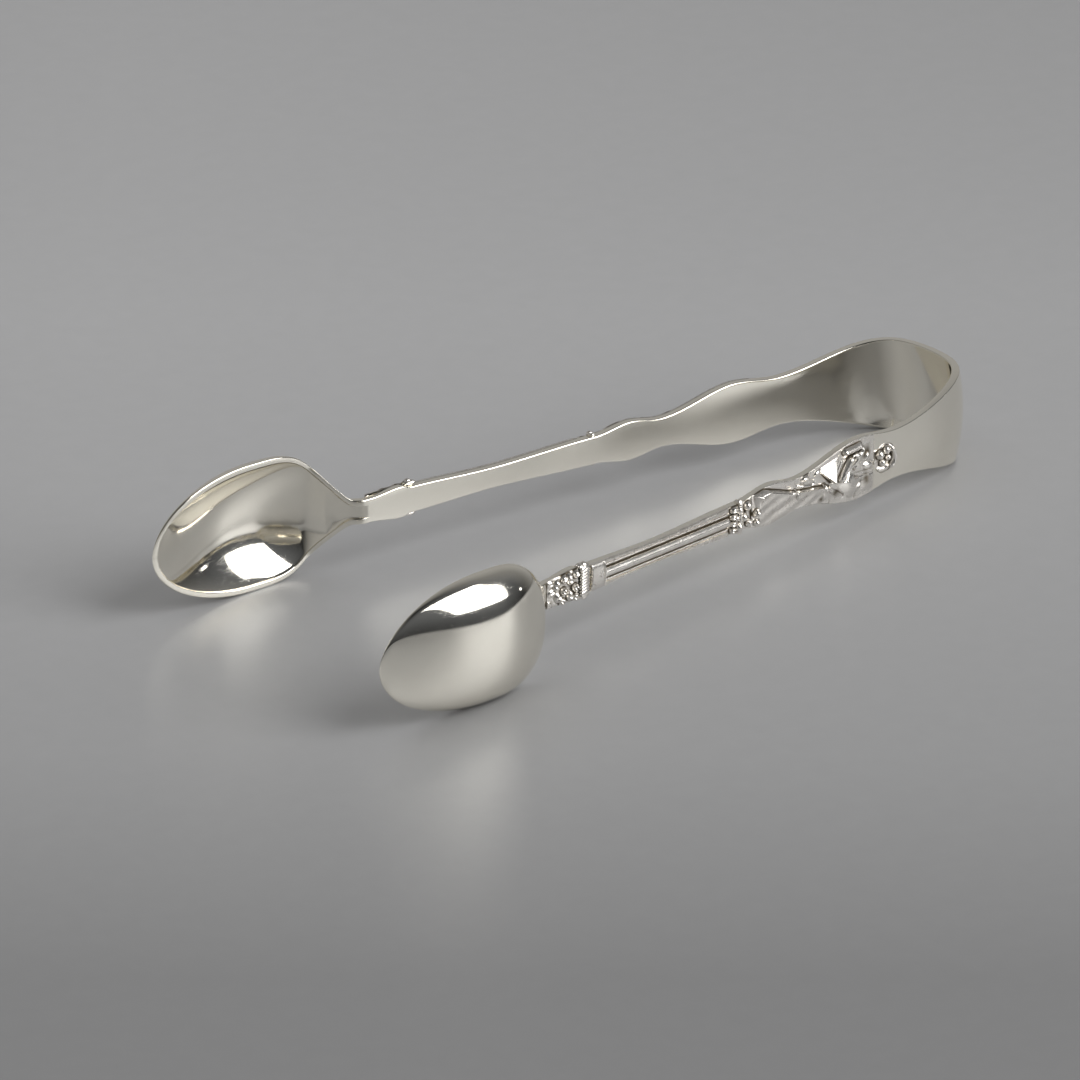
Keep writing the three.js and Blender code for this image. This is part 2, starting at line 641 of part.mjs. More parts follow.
// Lay the tongs on the floor, centred over the origin
tongs.rotation.y = Math.atan(floorSlope);
tongs.updateMatrixWorld(true);
const extent = new THREE.Box3().setFromObject(tongs, true);
tongs.position.set(-(extent.min.x + extent.max.x) / 2, 0, -extent.min.z);
tongs.updateMatrixWorld(true);

export default tongs;
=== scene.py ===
# Silver sugar tongs lying on edge on a grey studio floor: fine relief, finish, light and camera.
import json
import math

import bmesh
import bpy
import numpy as np
from mathutils import Matrix, Vector


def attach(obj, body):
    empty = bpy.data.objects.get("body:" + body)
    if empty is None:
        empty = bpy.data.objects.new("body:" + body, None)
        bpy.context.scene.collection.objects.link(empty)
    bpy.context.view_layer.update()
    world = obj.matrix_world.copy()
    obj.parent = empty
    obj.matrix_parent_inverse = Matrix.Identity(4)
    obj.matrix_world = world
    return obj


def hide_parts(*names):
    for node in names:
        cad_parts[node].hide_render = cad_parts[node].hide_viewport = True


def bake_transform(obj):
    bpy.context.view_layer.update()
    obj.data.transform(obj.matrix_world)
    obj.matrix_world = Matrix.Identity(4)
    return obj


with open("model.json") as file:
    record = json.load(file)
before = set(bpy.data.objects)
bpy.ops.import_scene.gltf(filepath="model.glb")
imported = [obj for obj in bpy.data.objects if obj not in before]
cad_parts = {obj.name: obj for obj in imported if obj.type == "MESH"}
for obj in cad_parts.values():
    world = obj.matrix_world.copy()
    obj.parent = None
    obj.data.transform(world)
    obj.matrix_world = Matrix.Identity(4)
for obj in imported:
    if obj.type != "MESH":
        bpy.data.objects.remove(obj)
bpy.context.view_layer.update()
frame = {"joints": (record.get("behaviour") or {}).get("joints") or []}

# Whole object, in millimetres
OVERALL_LENGTH = 146
TIP_SPREAD = 56.1
ARM_SPLAY = math.radians(5.16)
BOWL_TOE = math.radians(1.84)
SOLDER = 0.06
PIECE_GAP = 0.25

# Spring bow
STRIP_THICKNESS = 1.4
STRIP_CORNER = 0.26
OUTER_CORNER = 0.12
BOW_REACH = 23.5
BOW_SPREAD = 26.9
CROWN_WIDTH = 16.4
CROWN_FLAT = 12
CROWN_DISH = 1.2
CROWN_FULLNESS = 0.74
SIDE_FULLNESS = 0.66
WAIST_WIDTH = 8.7
SQUARE_SHARE = 0.7

# Arm widths, from the bow down
SWELL_WIDTH = 10.7
UPPER_NECK_WIDTH = 5.2
LEAF_WIDTH = 6.9
COLLAR_SEAT_WIDTH = 4.9
SHAFT_WIDTH = 3.7
FOOT_WIDTH = 4.6
CALYX_WIDTH = 5.5
NECK_WIDTH = 4.2

# Lengths of the ornaments along an arm, from the bow down
CREST_LENGTH = 5.2
CARTOUCHE_LENGTH = 10.2
LEAF_LENGTH = 19.2
COLLAR_LENGTH = 5
BLOCK_LENGTH = 3.2
RING_LENGTH = 2.4
CALYX_LENGTH = 7
NECK_LENGTH = 2.4
CRANK_LENGTH = 7.8
DROP_LENGTH = 7.6

# Height of the ornaments over the arm
CREST_RELIEF = 1.5
SHELL_RELIEF = 2.1
LEAF_RELIEF = 1.7
REED_RADIUS = 0.8
CALYX_RELIEF = 1.8
EDGE_MARGIN = 0.3
COLLAR_RADIUS = 0.34
COLLAR_RELIEF = 1.7
RING_RADIUS = 0.36
CLASP_DEPTH = 1
CLASP_EDGE = 0.1
CLASP_CORNER = 0.6
ROOT_DEPTH = 0.2
OVERLAP = 0.02

# Bowls
BOWL_LENGTH = 37
BOWL_WIDTH = 22.3
BOWL_DEPTH = 6.1
BOWL_WALL = 0.9
RIM_THICKNESS = 1
WIDEST_SHARE = 0.54
DEEPEST_SHARE = 0.58
TIP_TAPER = 0.54
HEEL_FULLNESS = 4
HEEL_FILLET = 1.75
DEPTH_FULLNESS = 0.82
TIP_ROUNDNESS = 2
HEEL_ROUNDNESS = 2.2
NECK_ROUNDNESS = 9
HOLLOW_FLARE = 1.8
HOLLOW_END = 3
RIM_ROUNDING = 0.22
EDGE_ROUNDING = 0.3

# Places along the arm that follow from the sizes
X_TIP = -OVERALL_LENGTH / 2
X_CROWN = OVERALL_LENGTH / 2
X_JOINT = X_CROWN - BOW_REACH
X_CREST = X_JOINT - PIECE_GAP
X_CARTOUCHE = X_CREST - CREST_LENGTH - PIECE_GAP
X_LEAF = X_CARTOUCHE - CARTOUCHE_LENGTH - PIECE_GAP
X_COLLAR = X_LEAF - LEAF_LENGTH - PIECE_GAP
X_REED = X_COLLAR - COLLAR_LENGTH - PIECE_GAP
X_HEEL = X_TIP + BOWL_LENGTH
X_CALYX_END = X_HEEL + NECK_LENGTH
X_CALYX = X_CALYX_END + CALYX_LENGTH
X_NECK_JOINT = X_CALYX + PIECE_GAP / 2
X_RING = X_CALYX + PIECE_GAP + RING_LENGTH / 2
X_REED_END = X_RING + RING_LENGTH / 2 + PIECE_GAP
X_WIDEST = X_TIP + WIDEST_SHARE * BOWL_LENGTH
X_CRANK = X_CALYX_END - 0.3 * NECK_LENGTH
SEAT = STRIP_THICKNESS + SOLDER
EMBED = STRIP_THICKNESS - ROOT_DEPTH

# The way the tongs lie: the hinges stand square to the arms, so their axis gives the tilt
HINGE = frame["joints"][0]
TILT = math.asin(HINGE["axis"][0])
MM = 0.001

# Meshes: spacing of a relief's grid, in millimetres, and the angle of a sharp edge
GRAIN = 0.07
CREASE = math.radians(38)


def smooth(t):
    """Eased step from 0 to 1."""
    t = np.clip(t, 0, 1)
    return t * t * (3 - 2 * t)


def mix(a, b, t):
    """From a to b by the share t."""
    return a + (b - a) * t


def eased(away, reach):
    """Quarter-round shoulder: 0 at the edge, 1 from reach on."""
    return np.sqrt(1 - (1 - np.clip(away / reach, 0, 1)) ** 2)


# Shape of the arm and bowl in flat coordinates

def blade_half(x):
    """Half width of the arm at x, swinging smoothly from each station to the next."""
    stations = [
        (X_CALYX_END, NECK_WIDTH),
        (mix(X_CALYX, X_CALYX_END, 0.1), CALYX_WIDTH),
        (X_RING, FOOT_WIDTH),
        (mix(X_REED, X_REED_END, 0.55), SHAFT_WIDTH),
        (X_COLLAR - 0.5 * COLLAR_LENGTH, COLLAR_SEAT_WIDTH),
        (X_LEAF - 0.76 * LEAF_LENGTH, LEAF_WIDTH),
        (X_LEAF - 0.43 * LEAF_LENGTH, UPPER_NECK_WIDTH),
        (X_CARTOUCHE - 0.36 * CARTOUCHE_LENGTH, SWELL_WIDTH),
        (X_JOINT, WAIST_WIDTH),
    ]
    x = np.asarray(x, float)
    width = np.full(x.shape, float(stations[0][1]))
    for (low_x, low_width), (high_x, high_width) in zip(stations, stations[1:]):
        share = smooth((x - low_x) / (high_x - low_x))
        width = np.where(x > low_x, mix(low_width, high_width, share), width)
    return width / 2


def arm_line(x):
    """Distance of the arm's inner face from the centre plane."""
    return BOW_SPREAD / 2 + (X_JOINT - x) * math.tan(ARM_SPLAY)


def rim_line(x):
    """Distance of the bowl's rim from the centre plane."""
    return TIP_SPREAD / 2 - (x - X_TIP) * math.tan(BOWL_TOE)


def inner_line(x):
    """The arm's inner face running into the bowl's rim."""
    return mix(arm_line(x), rim_line(x), smooth((X_CRANK - x) / CRANK_LENGTH))


def bowl_half(x, inset):
    """Half width of the bowl, or of its hollow when inset by the rim, running into the neck."""
    widest = BOWL_WIDTH / 2 - inset
    to_tip = np.clip((X_WIDEST - x) / (X_WIDEST - X_TIP - inset), 0, 1)
    to_heel = np.clip((x - X_WIDEST) / (X_HEEL - X_WIDEST), 0, 1)
    tip = widest * (1 - to_tip ** 2) ** TIP_TAPER
    heel = mix(blade_half(x) - inset, widest, (1 - to_heel ** HEEL_FULLNESS) ** HEEL_FILLET)
    return np.where(x <= X_WIDEST, tip, heel)


def depth_share(x, tip_inset=0, heel_inset=0):
    """0 at the tip, 1 at the deepest place, 0 again at the heel."""
    along = np.clip((x - X_TIP - tip_inset) / (BOWL_LENGTH - tip_inset - heel_inset), 0, 1)
    skew = math.log(0.5) / math.log(DEEPEST_SHARE)
    return np.clip(np.sin(math.pi * along ** skew), 0, 1) ** DEPTH_FULLNESS


def drop_share(x):
    """1 along the neck, 0 from the heel on into the bowl."""
    return smooth((x - X_CALYX_END) / DROP_LENGTH + 1)


def bowl_depth(x):
    """Distance from the rim to the bowl's back."""
    back = rim_line(x) + BOWL_DEPTH * depth_share(x)
    return mix(back, arm_line(x) + STRIP_THICKNESS, drop_share(x)) - inner_line(x)


def hollow_depth(x):
    """Distance from the rim to the bottom of the hollow."""
    bottom = rim_line(x) + (BOWL_DEPTH - BOWL_WALL) * depth_share(x, RIM_THICKNESS, HOLLOW_END)
    return np.maximum(mix(bottom, arm_line(x), drop_share(x)) - inner_line(x), 0)


def roundness_at(x):
    """Squareness of the bowl's section: 2 is an ellipse."""
    bowl = mix(TIP_ROUNDNESS, HEEL_ROUNDNESS, np.clip((x - X_TIP) / BOWL_LENGTH, 0, 1))
    return mix(bowl, NECK_ROUNDNESS, smooth((x - X_HEEL) / NECK_LENGTH + 1))


def lay(points):
    """Flat frame in millimetres to the row frame in metres: tilt the tongs and set them on the floor."""
    x, y, z = points[..., 0], points[..., 1], points[..., 2]
    c, s = math.cos(TILT), math.sin(TILT)
    lift = CROWN_WIDTH / 2 * c + (X_CROWN - CROWN_DISH) * s
    return np.stack([x * c + z * s, y, z * c - x * s + lift], -1) * MM


def on_arm(x, out, z, side):
    """Bend flat coordinates (along, outward, across) to the arm on one side."""
    x, out, z = np.broadcast_arrays(x, out, z)
    return lay(np.stack([x, side * (inner_line(x) + out), z], -1))


# Mesh helpers

def grid_faces(rows, columns, wrap=False):
    """Four-sided faces of a grid of points, closed round if it wraps."""
    i, j = np.meshgrid(np.arange(rows - 1), np.arange(columns if wrap else columns - 1), indexing="ij")
    k = (j + 1) % columns
    corners = [i * columns + j, (i + 1) * columns + j, (i + 1) * columns + k, i * columns + k]
    return np.stack(corners, -1).reshape(-1, 4)


def make_object(name, points, faces, flip=False):
    """Smooth-shaded object of points and faces."""
    mesh = bpy.data.meshes.new(name)
    order = faces[:, ::-1] if flip else faces
    mesh.from_pydata(points.reshape(-1, 3).tolist(), [], order.tolist(), shade_flat=False)
    mesh.validate()
    piece = bpy.data.objects.new(name, mesh)
    bpy.context.collection.objects.link(piece)
    return piece


def inside_out(points, faces):
    """True if a closed surface's faces point inward."""
    a, b, c, d = (points.reshape(-1, 3)[faces[:, k]] for k in range(4))
    volume = np.einsum("ij,ij->", a, np.cross(b, c)) + np.einsum("ij,ij->", a, np.cross(c, d))
    return volume < 0


def merge_doubles(piece, distance=1e-7):
    """Join points that lie in the same place."""
    shape = bmesh.new()
    shape.from_mesh(piece.data)
    bmesh.ops.remove_doubles(shape, verts=shape.verts, dist=distance)
    shape.to_mesh(piece.data)
    shape.free()


def make_loft(name, rings):
    """Closed body through rings of points; the end rings are drawn in to their middles."""
    first = np.broadcast_to(rings[0].mean(0), rings[0].shape)
    last = np.broadcast_to(rings[-1].mean(0), rings[-1].shape)
    points = np.concatenate([first[None], rings, last[None]])
    faces = grid_faces(len(points), points.shape[1], wrap=True)
    piece = make_object(name, points, faces, inside_out(points, faces))
    merge_doubles(piece)
    return piece


def set_attribute(piece, name, values):
    """One number for each point, for the material to read."""
    attribute = piece.data.attributes.new(name, "FLOAT", "POINT")
    attribute.data.foreach_set("value", np.asarray(values, np.float32).ravel())


def join_pieces(name, parts):
    """One object of several meshes that lie against each other as one casting."""
    bpy.ops.object.select_all(action="DESELECT")
    for part in parts:
        part.select_set(True)
    bpy.context.view_layer.objects.active = parts[0]
    bpy.ops.object.join()
    parts[0].name = name
    parts[0].data.name = name
    return parts[0]


# Relief: heights over the arm's face, in millimetres; x runs along the arm and z across it

def blended(*heights, sharpness=14.0):
    """The highest of several forms, run together softly like cast metal."""
    total = np.zeros_like(heights[0])
    peak = np.max(heights, axis=0)
    for height in heights:
        total += np.exp(sharpness * (height - peak))
    return peak + np.log(total) / sharpness - math.log(len(heights)) / sharpness


def turned(x, z, middle, turn):
    """Coordinates along and across a form that is turned in the arm's face."""
    dx, dz = x - middle[0], z - middle[1]
    c, s = math.cos(turn), math.sin(turn)
    return dx * c + dz * s, dz * c - dx * s


def bead(x, z, middle, length, width, height, turn=0.0):
    """Half a ball, stretched."""
    along, across = turned(x, z, middle, turn)
    r2 = (2 * along / length) ** 2 + (2 * across / width) ** 2
    return height * np.sqrt(np.clip(1 - r2, 0, 1))


def cushion(x, z, middle, length, width, height, turn=0.0):
    """Low swelling that fades out softly all round."""
    along, across = turned(x, z, middle, turn)
    r2 = (2 * along / length) ** 2 + (2 * across / width) ** 2
    return height * np.clip(1 - r2, 0, 1) ** 1.2


def petal(x, z, middle, length, width, height, turn=0.0):
    """A bead with a groove along its middle and a lifted tip."""
    along, across = turned(x, z, middle, turn)
    groove = 0.34 * np.exp(-((across / (0.12 * width)) ** 2)) * smooth(0.8 - along / length)
    lift = 1 + 0.25 * along / length
    return bead(x, z, middle, length, width, height, turn) * (1 - groove) * lift


def away_from(x, z, start, end):
    """Distance from the straight line between two places."""
    run = (end[0] - start[0], end[1] - start[1])
    share = ((x - start[0]) * run[0] + (z - start[1]) * run[1]) / (run[0] ** 2 + run[1] ** 2)
    share = np.clip(share, 0, 1)
    return np.hypot(x - start[0] - share * run[0], z - start[1] - share * run[1])


def bar(x, z, start, end, radius, height):
    """Round bar with round ends."""
    return height * np.sqrt(np.clip(1 - (away_from(x, z, start, end) / radius) ** 2, 0, 1))


def cut(x, z, start, end, width):
    """Share of a chased line's depth: 1 along the line, 0 away from it."""
    return np.exp(-(2 * away_from(x, z, start, end) / width) ** 2)


def inside_of(x, z, corners):
    """Distance inside a triangle's nearest side; negative outside."""
    middle = np.mean(corners, axis=0)
    nearest = None
    for a, b in zip(corners, corners[1:] + corners[:1]):
        normal = np.array((a[1] - b[1], b[0] - a[0])) / math.dist(a, b)
        facing = math.copysign(1, normal @ (middle - np.array(a)))
        away = facing * ((x - a[0]) * normal[0] + (z - a[1]) * normal[1])
        nearest = away if nearest is None else np.minimum(nearest, away)
    return nearest


# Scrollwork of cartouche and leaf: places (along from the top of the leaf towards the bow, across)
BRIGHT_LEAF = [(-4.0, 2.9), (2.1, 4.0), (-0.2, -0.6)]
BRIGHT_LEAF_SLOPE = 0.53
VOLUTE = ((3.2, 3.9), (6.5, 4.1))
VOLUTE_RADIUS = 0.8
RING_STRAP = ((4.4, 2.6), (2.2, -0.3))
OUTER_STRAP = ((7.2, 3.4), (5.6, 0.8))
STRAP_RADIUS = 0.75
LEAF_EDGE_ALONG = (-17.6, -15.0, -9.6, -6.0, -2.8, -0.6)
LEAF_EDGE_ACROSS = (3.4, 2.9, 0.95, 0.35, 0.0, -0.9)
LEAF_EDGE_SOFTNESS = 1.7
LEAF_TILT = 0.22
FLUTE_DEPTH = 0.045
CHASED_LINES = {
    "slit over the long leaf": ((-14.9, 2.95), (-10.2, 1.35)),
    "upper side of the slit": ((-14.0, 3.05), (-11.4, 2.15)),
    "gap under the bright leaf": ((-1.0, -1.2), (2.7, -3.5)),
    "line under the hump": ((5.9, -0.8), (10.4, -1.2)),
    "edge of the bright leaf": ((2.3, 3.6), (0.3, -0.2)),
    "edge of the ring strap": ((5.3, 2.4), (3.1, -0.6)),
    "head of the ring strap": ((2.9, 3.1), (4.9, 3.3)),
    "underside of the volute": ((2.6, 3.3), (6.6, 3.5)),
    "fold of the small leaf": ((-8.2, 2.0), (-4.6, 1.0)),
}
LINE_WIDTH = 0.65
LINE_DEPTH = 0.7
SHOULDER_SLOPE = 1.7


def carved(height, x, z, lines):
    """Chased lines sunk into a relief."""
    for start, end in lines:
        height = height - LINE_DEPTH * cut(x, z, start, end, LINE_WIDTH)
    return height


def leaf_edge(s):
    """Folded upper edge of the long leaf, with its corners rounded."""
    shifts = LEAF_EDGE_SOFTNESS * np.linspace(-1, 1, 9)
    return np.mean([np.interp(s + shift, LEAF_EDGE_ALONG, LEAF_EDGE_ACROSS) for shift in shifts], axis=0)


def long_leaf(s, z):
    """Smooth blade of the leaf: it tilts down from a folded upper edge and is fluted a little."""
    below = leaf_edge(s) - z
    flutes = FLUTE_DEPTH * np.cos(1.9 * s + 2.6 * below) * smooth(below / 1.5)
    fade = smooth((s + LEAF_LENGTH) / 1.6) * smooth(-s / 1.2)
    return (0.9 * LEAF_RELIEF - LEAF_TILT * below + flutes) * smooth(below / 0.3 + 0.5) * fade


def bright_leaf(s, z):
    """Flat leaf that slopes up from the arm's upper edge to a sharp ridge."""
    top = BRIGHT_LEAF[1][1]
    slope = 0.1 + BRIGHT_LEAF_SLOPE * (top - z) + 0.08 * s - 0.03 * s * s
    return np.minimum(slope, SHELL_RELIEF) * smooth(inside_of(s, z, BRIGHT_LEAF) / 0.4)


# Low forms of the cartouche: shape, place, length, width, share of the relief, turn
CARTOUCHE_FORMS = [
    (cushion, (5.8, 2.2), 5.2, 4.0, 0.58, 0.6),
    (cushion, (4.4, -2.0), 8.0, 5.6, 0.5, -0.35),
    (bead, (4.0, -1.6), 2.6, 0.9, 0.56, -0.9),
    (bead, (6.3, -2.6), 2.4, 0.9, 0.5, 0.4),
    (bead, (8.8, 0.15), 3.0, 1.7, 0.46, -0.1),
    (bead, (8.4, 1.9), 1.8, 1.1, 0.42, 0.9),
    (cushion, (8.9, -2.9), 6.0, 3.6, 0.34, 0.2),
]
# Small forms beside the long leaf, in the same order
LEAF_FORMS = [
    (bead, (-2.0, -0.8), 1.4, 2.0, 1.0, 0.2),
    (cushion, (-2.0, -2.9), 5.0, 2.4, 0.5, -0.1),
    (bead, (-9.0, 0.2), 1.1, 2.2, 1.02, 0.25),
    (petal, (-6.9, 1.75), 3.6, 1.5, 0.58, 0.6),
    (bead, (-3.6, 2.4), 1.9, 0.9, 0.46, 0.4),
    (bead, (-17.3, 2.1), 1.5, 1.4, 0.9, 0.0),
    (bead, (-18.3, -0.2), 1.7, 1.4, 0.95, 0.4),
    (bead, (-18.0, -2.0), 1.6, 1.2, 0.7, 0.0),
]


def small_forms(s, z, forms, relief):
    """Heights of a table of forms."""
    heights = []
    for shape, middle, length, width, share, turn in forms:
        heights.append(shape(s, z, middle, length, width, share * relief, turn))
    return heights


def cartouche_heights(s, z):
    """Bright leaf, volute and straps, with the low forms between them."""
    return [
        bright_leaf(s, z),
        bar(s, z, *VOLUTE, VOLUTE_RADIUS, 0.62 * SHELL_RELIEF),
        bar(s, z, *RING_STRAP, STRAP_RADIUS, 0.66 * SHELL_RELIEF),
        bar(s, z, *OUTER_STRAP, 0.8 * STRAP_RADIUS, 0.52 * SHELL_RELIEF),
        *small_forms(s, z, CARTOUCHE_FORMS, SHELL_RELIEF),
    ]


def scrollwork(x, z):
    """Smooth leaves, straps and a volute that run over cartouche and leaf as one casting."""
    s = x - X_LEAF
    half = blade_half(x)
    ground = 0.22 + 0.25 * (1 - (z / half) ** 2)
    leaf_heights = [long_leaf(s, z), *small_forms(s, z, LEAF_FORMS, LEAF_RELIEF)]
    height = blended(ground, *cartouche_heights(s, z), *leaf_heights)
    height = carved(height, s, z, CHASED_LINES.values())
    return np.clip(height, 0.06, 0.15 + SHOULDER_SLOPE * (half - np.abs(z)))


# Dark patches in the field of the scrollwork: places and reach
STAINS = [
    ((8.6, 2.7), 1.0),
    ((8.5, -2.3), 1.0),
    ((1.3, -2.6), 0.9),
    ((5.2, 3.35), 0.7),
    ((-3.1, -2.2), 0.6),
]
STAIN_DEPTH = 0.5


def stained(x, z):
    """Tarnish left in the field between the raised forms."""
    total = np.zeros_like(x)
    for place, reach in STAINS:
        total += STAIN_DEPTH * np.exp(-((x - X_LEAF - place[0]) ** 2 + (z - place[1]) ** 2) / reach ** 2)
    return total


def unstained(x, z):
    """No tarnish but that of the hollows."""
    return np.zeros_like(x)


# Berries of the crest: places from its middle, with their size
CREST_BERRIES = [((-1.5, 1.0), 1.7), ((0.1, 1.5), 1.6), ((-0.9, -0.5), 1.4), ((0.5, 0.1), 1.2)]
CRESCENT_RADIUS = 1.95
CRESCENT_WIDTH = 1.15
CRESCENT_SPAN = math.radians(78)


def crest_relief(x, z):
    """Berries in a sunk field, with a bright crescent round them on the bow's side."""
    middle = X_CREST - CREST_LENGTH / 2
    dx = x - middle
    reach, angle = np.hypot(dx, z), np.arctan2(z, dx)
    crescent = np.sqrt(np.clip(1 - (2 * (reach - CRESCENT_RADIUS) / CRESCENT_WIDTH) ** 2, 0, 1))
    crescent = 0.7 * CREST_RELIEF * crescent * smooth((CRESCENT_SPAN - np.abs(angle)) / 0.5)
    forms = [np.full_like(x, 0.12), crescent, cushion(dx, z, (-0.5, -1.6), 4.2, 1.7, 0.5 * CREST_RELIEF)]
    for place, size in CREST_BERRIES:
        forms.append(bead(dx, z, place, size, size, 0.35 * CREST_RELIEF + 0.35 * size))
    return blended(*forms, sharpness=20.0)


# Berries of the collar: places from its middle, with their size
COLLAR_BERRIES = [
    ((1.6, 1.6), 1.7), ((-0.4, 1.5), 1.5), ((0.7, -0.1), 1.7), ((1.9, -1.4), 1.4), ((-0.4, -1.5), 1.7),
    ((-1.0, 0.2), 1.2),
]
FRINGE_PLACES = (-1.5, -0.5, 0.5, 1.5)


def collar_relief(x, z):
    """Cluster of berries over a fringe of small leaves that points to the bowl."""
    dx = x - X_COLLAR + COLLAR_LENGTH / 2
    spacing = COLLAR_SEAT_WIDTH / 4
    forms = [np.full_like(x, 0.2)]
    for place, size in COLLAR_BERRIES:
        forms.append(bead(dx, z, place, size, size, 0.45 * COLLAR_RELIEF + 0.28 * size))
    for place in FRINGE_PLACES:
        root = (-1.55, place * spacing)
        forms.append(petal(dx, z, root, 2.0, spacing, 0.66 * COLLAR_RELIEF, math.pi + 0.15 * place))
    return blended(*forms, sharpness=20.0)


CALYX_ROWS = 5
BUD_LENGTH = 1.75
CALYX_SINK_START = 0.5
CALYX_END_SHARE = 0.3


def calyx_share(x):
    """0 at the top of the calyx, 1 at the bowl."""
    return (X_CALYX - x) / CALYX_LENGTH


def calyx_half(x):
    """Half width of the calyx."""
    return mix(CALYX_WIDTH / 2, NECK_WIDTH / 2 + EDGE_MARGIN, calyx_share(x))


def calyx_relief(x, z):
    """Tapering cluster of buds that sinks towards the bowl."""
    dome = np.sqrt(np.clip(1 - (z / calyx_half(x)) ** 2, 0, 1))
    forms = [mix(0.1, 0.35 * CALYX_RELIEF, dome)]
    for row in range(CALYX_ROWS):
        t = mix(0.12, 0.9, row / (CALYX_ROWS - 1))
        middle = mix(X_CALYX, X_CALYX_END, t)
        reach = calyx_half(middle)
        count = 3 if row % 2 == 0 else 2
        width = 2 * reach / count
        for k in range(count):
            stray = math.sin(2.7 * row + 4.1 * k)
            place = (k - (count - 1) / 2 + 0.12 * stray) * width
            height = CALYX_RELIEF * mix(1, 0.85, t) * (1 - 0.4 * (place / reach) ** 2) * (1 - 0.12 * stray)
            turn = math.pi + 0.7 * stray
            forms.append(petal(x, z, (middle + 0.25 * stray, place), BUD_LENGTH, 0.85 * width, height, turn))
    sinking = smooth((calyx_share(x) - CALYX_SINK_START) / (1 - CALYX_SINK_START))
    return blended(*forms, sharpness=20.0) * mix(1, CALYX_END_SHARE, sinking)


def cavity_of(height, rounds=14):
    """How far each place lies below its surroundings."""
    blurred = height.copy()
    for _ in range(rounds):
        padded = np.pad(blurred, 1, mode="edge")
        blurred = (padded[:-2, 1:-1] + padded[2:, 1:-1] + padded[1:-1, :-2] + padded[1:-1, 2:]) / 4
    return np.clip((blurred - height) / 0.22, -1, 1)


def let_in(name, side, x, z, height, cavity):
    """Surface of a cast ornament with sides that go down into the arm."""
    frame_x, frame_z, frame_out = (np.pad(a, 1, mode="edge") for a in (x, z, SEAT + height))
    frame_out[0, :] = frame_out[-1, :] = EMBED
    frame_out[:, 0] = frame_out[:, -1] = EMBED
    points = on_arm(frame_x, frame_out, frame_z, side)
    piece = make_object(name, points, grid_faces(*points.shape[:2]), flip=side > 0)
    set_attribute(piece, "cavity", np.pad(cavity, 1))
    return piece


def make_relief(name, side, low_x, high_x, half, relief, open_ends=(False, False), stain=unstained):
    """Cast ornament: a fine grid of heights; its edges are rounded, but for an end that runs on."""
    rows = int((high_x - low_x) / GRAIN)
    x = np.linspace(low_x, high_x, rows)
    columns = int(2 * half(x).max() / GRAIN)
    grid_x = np.repeat(x[:, None], columns, 1)
    grid_z = half(grid_x) * np.linspace(-1, 1, columns)[None, :]
    margin = half(grid_x) - np.abs(grid_z)
    for is_open, away in zip(open_ends, (grid_x - low_x, high_x - grid_x)):
        if not is_open:
            margin = np.minimum(margin, away)
    height = relief(grid_x, grid_z) * eased(margin, EDGE_ROUNDING)
    return let_in(name, side, grid_x, grid_z, height, cavity_of(height) + stain(grid_x, grid_z))


# Pieces

def strip_section():
    """Round the strip's section: outward from its middle, share of the half width, rise of the corner."""
    half = STRIP_THICKNESS / 2
    across = np.linspace(0.98, -0.98, 39)
    section = []
    for quarter, (out_sign, across_sign) in enumerate(((1, 1), (-1, 1), (-1, -1), (1, -1))):
        corner = OUTER_CORNER if out_sign > 0 else STRIP_CORNER
        for angle in np.linspace(0, math.pi / 2, 6) + quarter * math.pi / 2:
            out = out_sign * (half - corner) + corner * math.cos(angle)
            rise = across_sign * (STRIP_CORNER - corner) + corner * math.sin(angle)
            section.append((out, across_sign, rise))
        if across_sign * out_sign < 0:
            section += [(out_sign * half, across_sign * share, 0.0) for share in across]
    return section


def make_blade(name, side):
    """Flat arm with a wavy edge."""
    x = np.linspace(X_NECK_JOINT, X_JOINT, 420)
    edge = blade_half(x) - STRIP_CORNER
    middle = STRIP_THICKNESS / 2
    rings = [on_arm(x, middle + out, share * edge + rise, side) for out, share, rise in strip_section()]
    return make_loft(name, np.stack(rings, 1))


def bowl_arc(count, x, half, depth, foot, flare=1.0):
    """Columns of points from one edge of the bowl to the other; foot is their height at the edge."""
    power = 2 / roundness_at(x)
    columns = []
    for angle in np.linspace(-math.pi / 2, math.pi / 2, count):
        across = math.copysign(1, angle) * abs(math.sin(angle)) ** power
        down = max(math.cos(angle), 0) ** (flare * power)
        columns.append((x, foot + (depth - foot) * down, half * across))
    return columns


def bowl_rows():
    """Places along the bowl, close together at the tip and at the heel."""
    reach = X_NECK_JOINT - X_TIP
    heel_start, heel_end = 0.8 * BOWL_LENGTH, X_CALYX_END - X_TIP
    body = heel_start * (1 - np.cos(np.linspace(0.01, 1, 130) * math.pi / 2))
    heel = np.linspace(heel_start, heel_end, 100)
    neck = np.linspace(heel_end, reach, 40)
    return np.concatenate([body, heel[1:], neck[1:]])


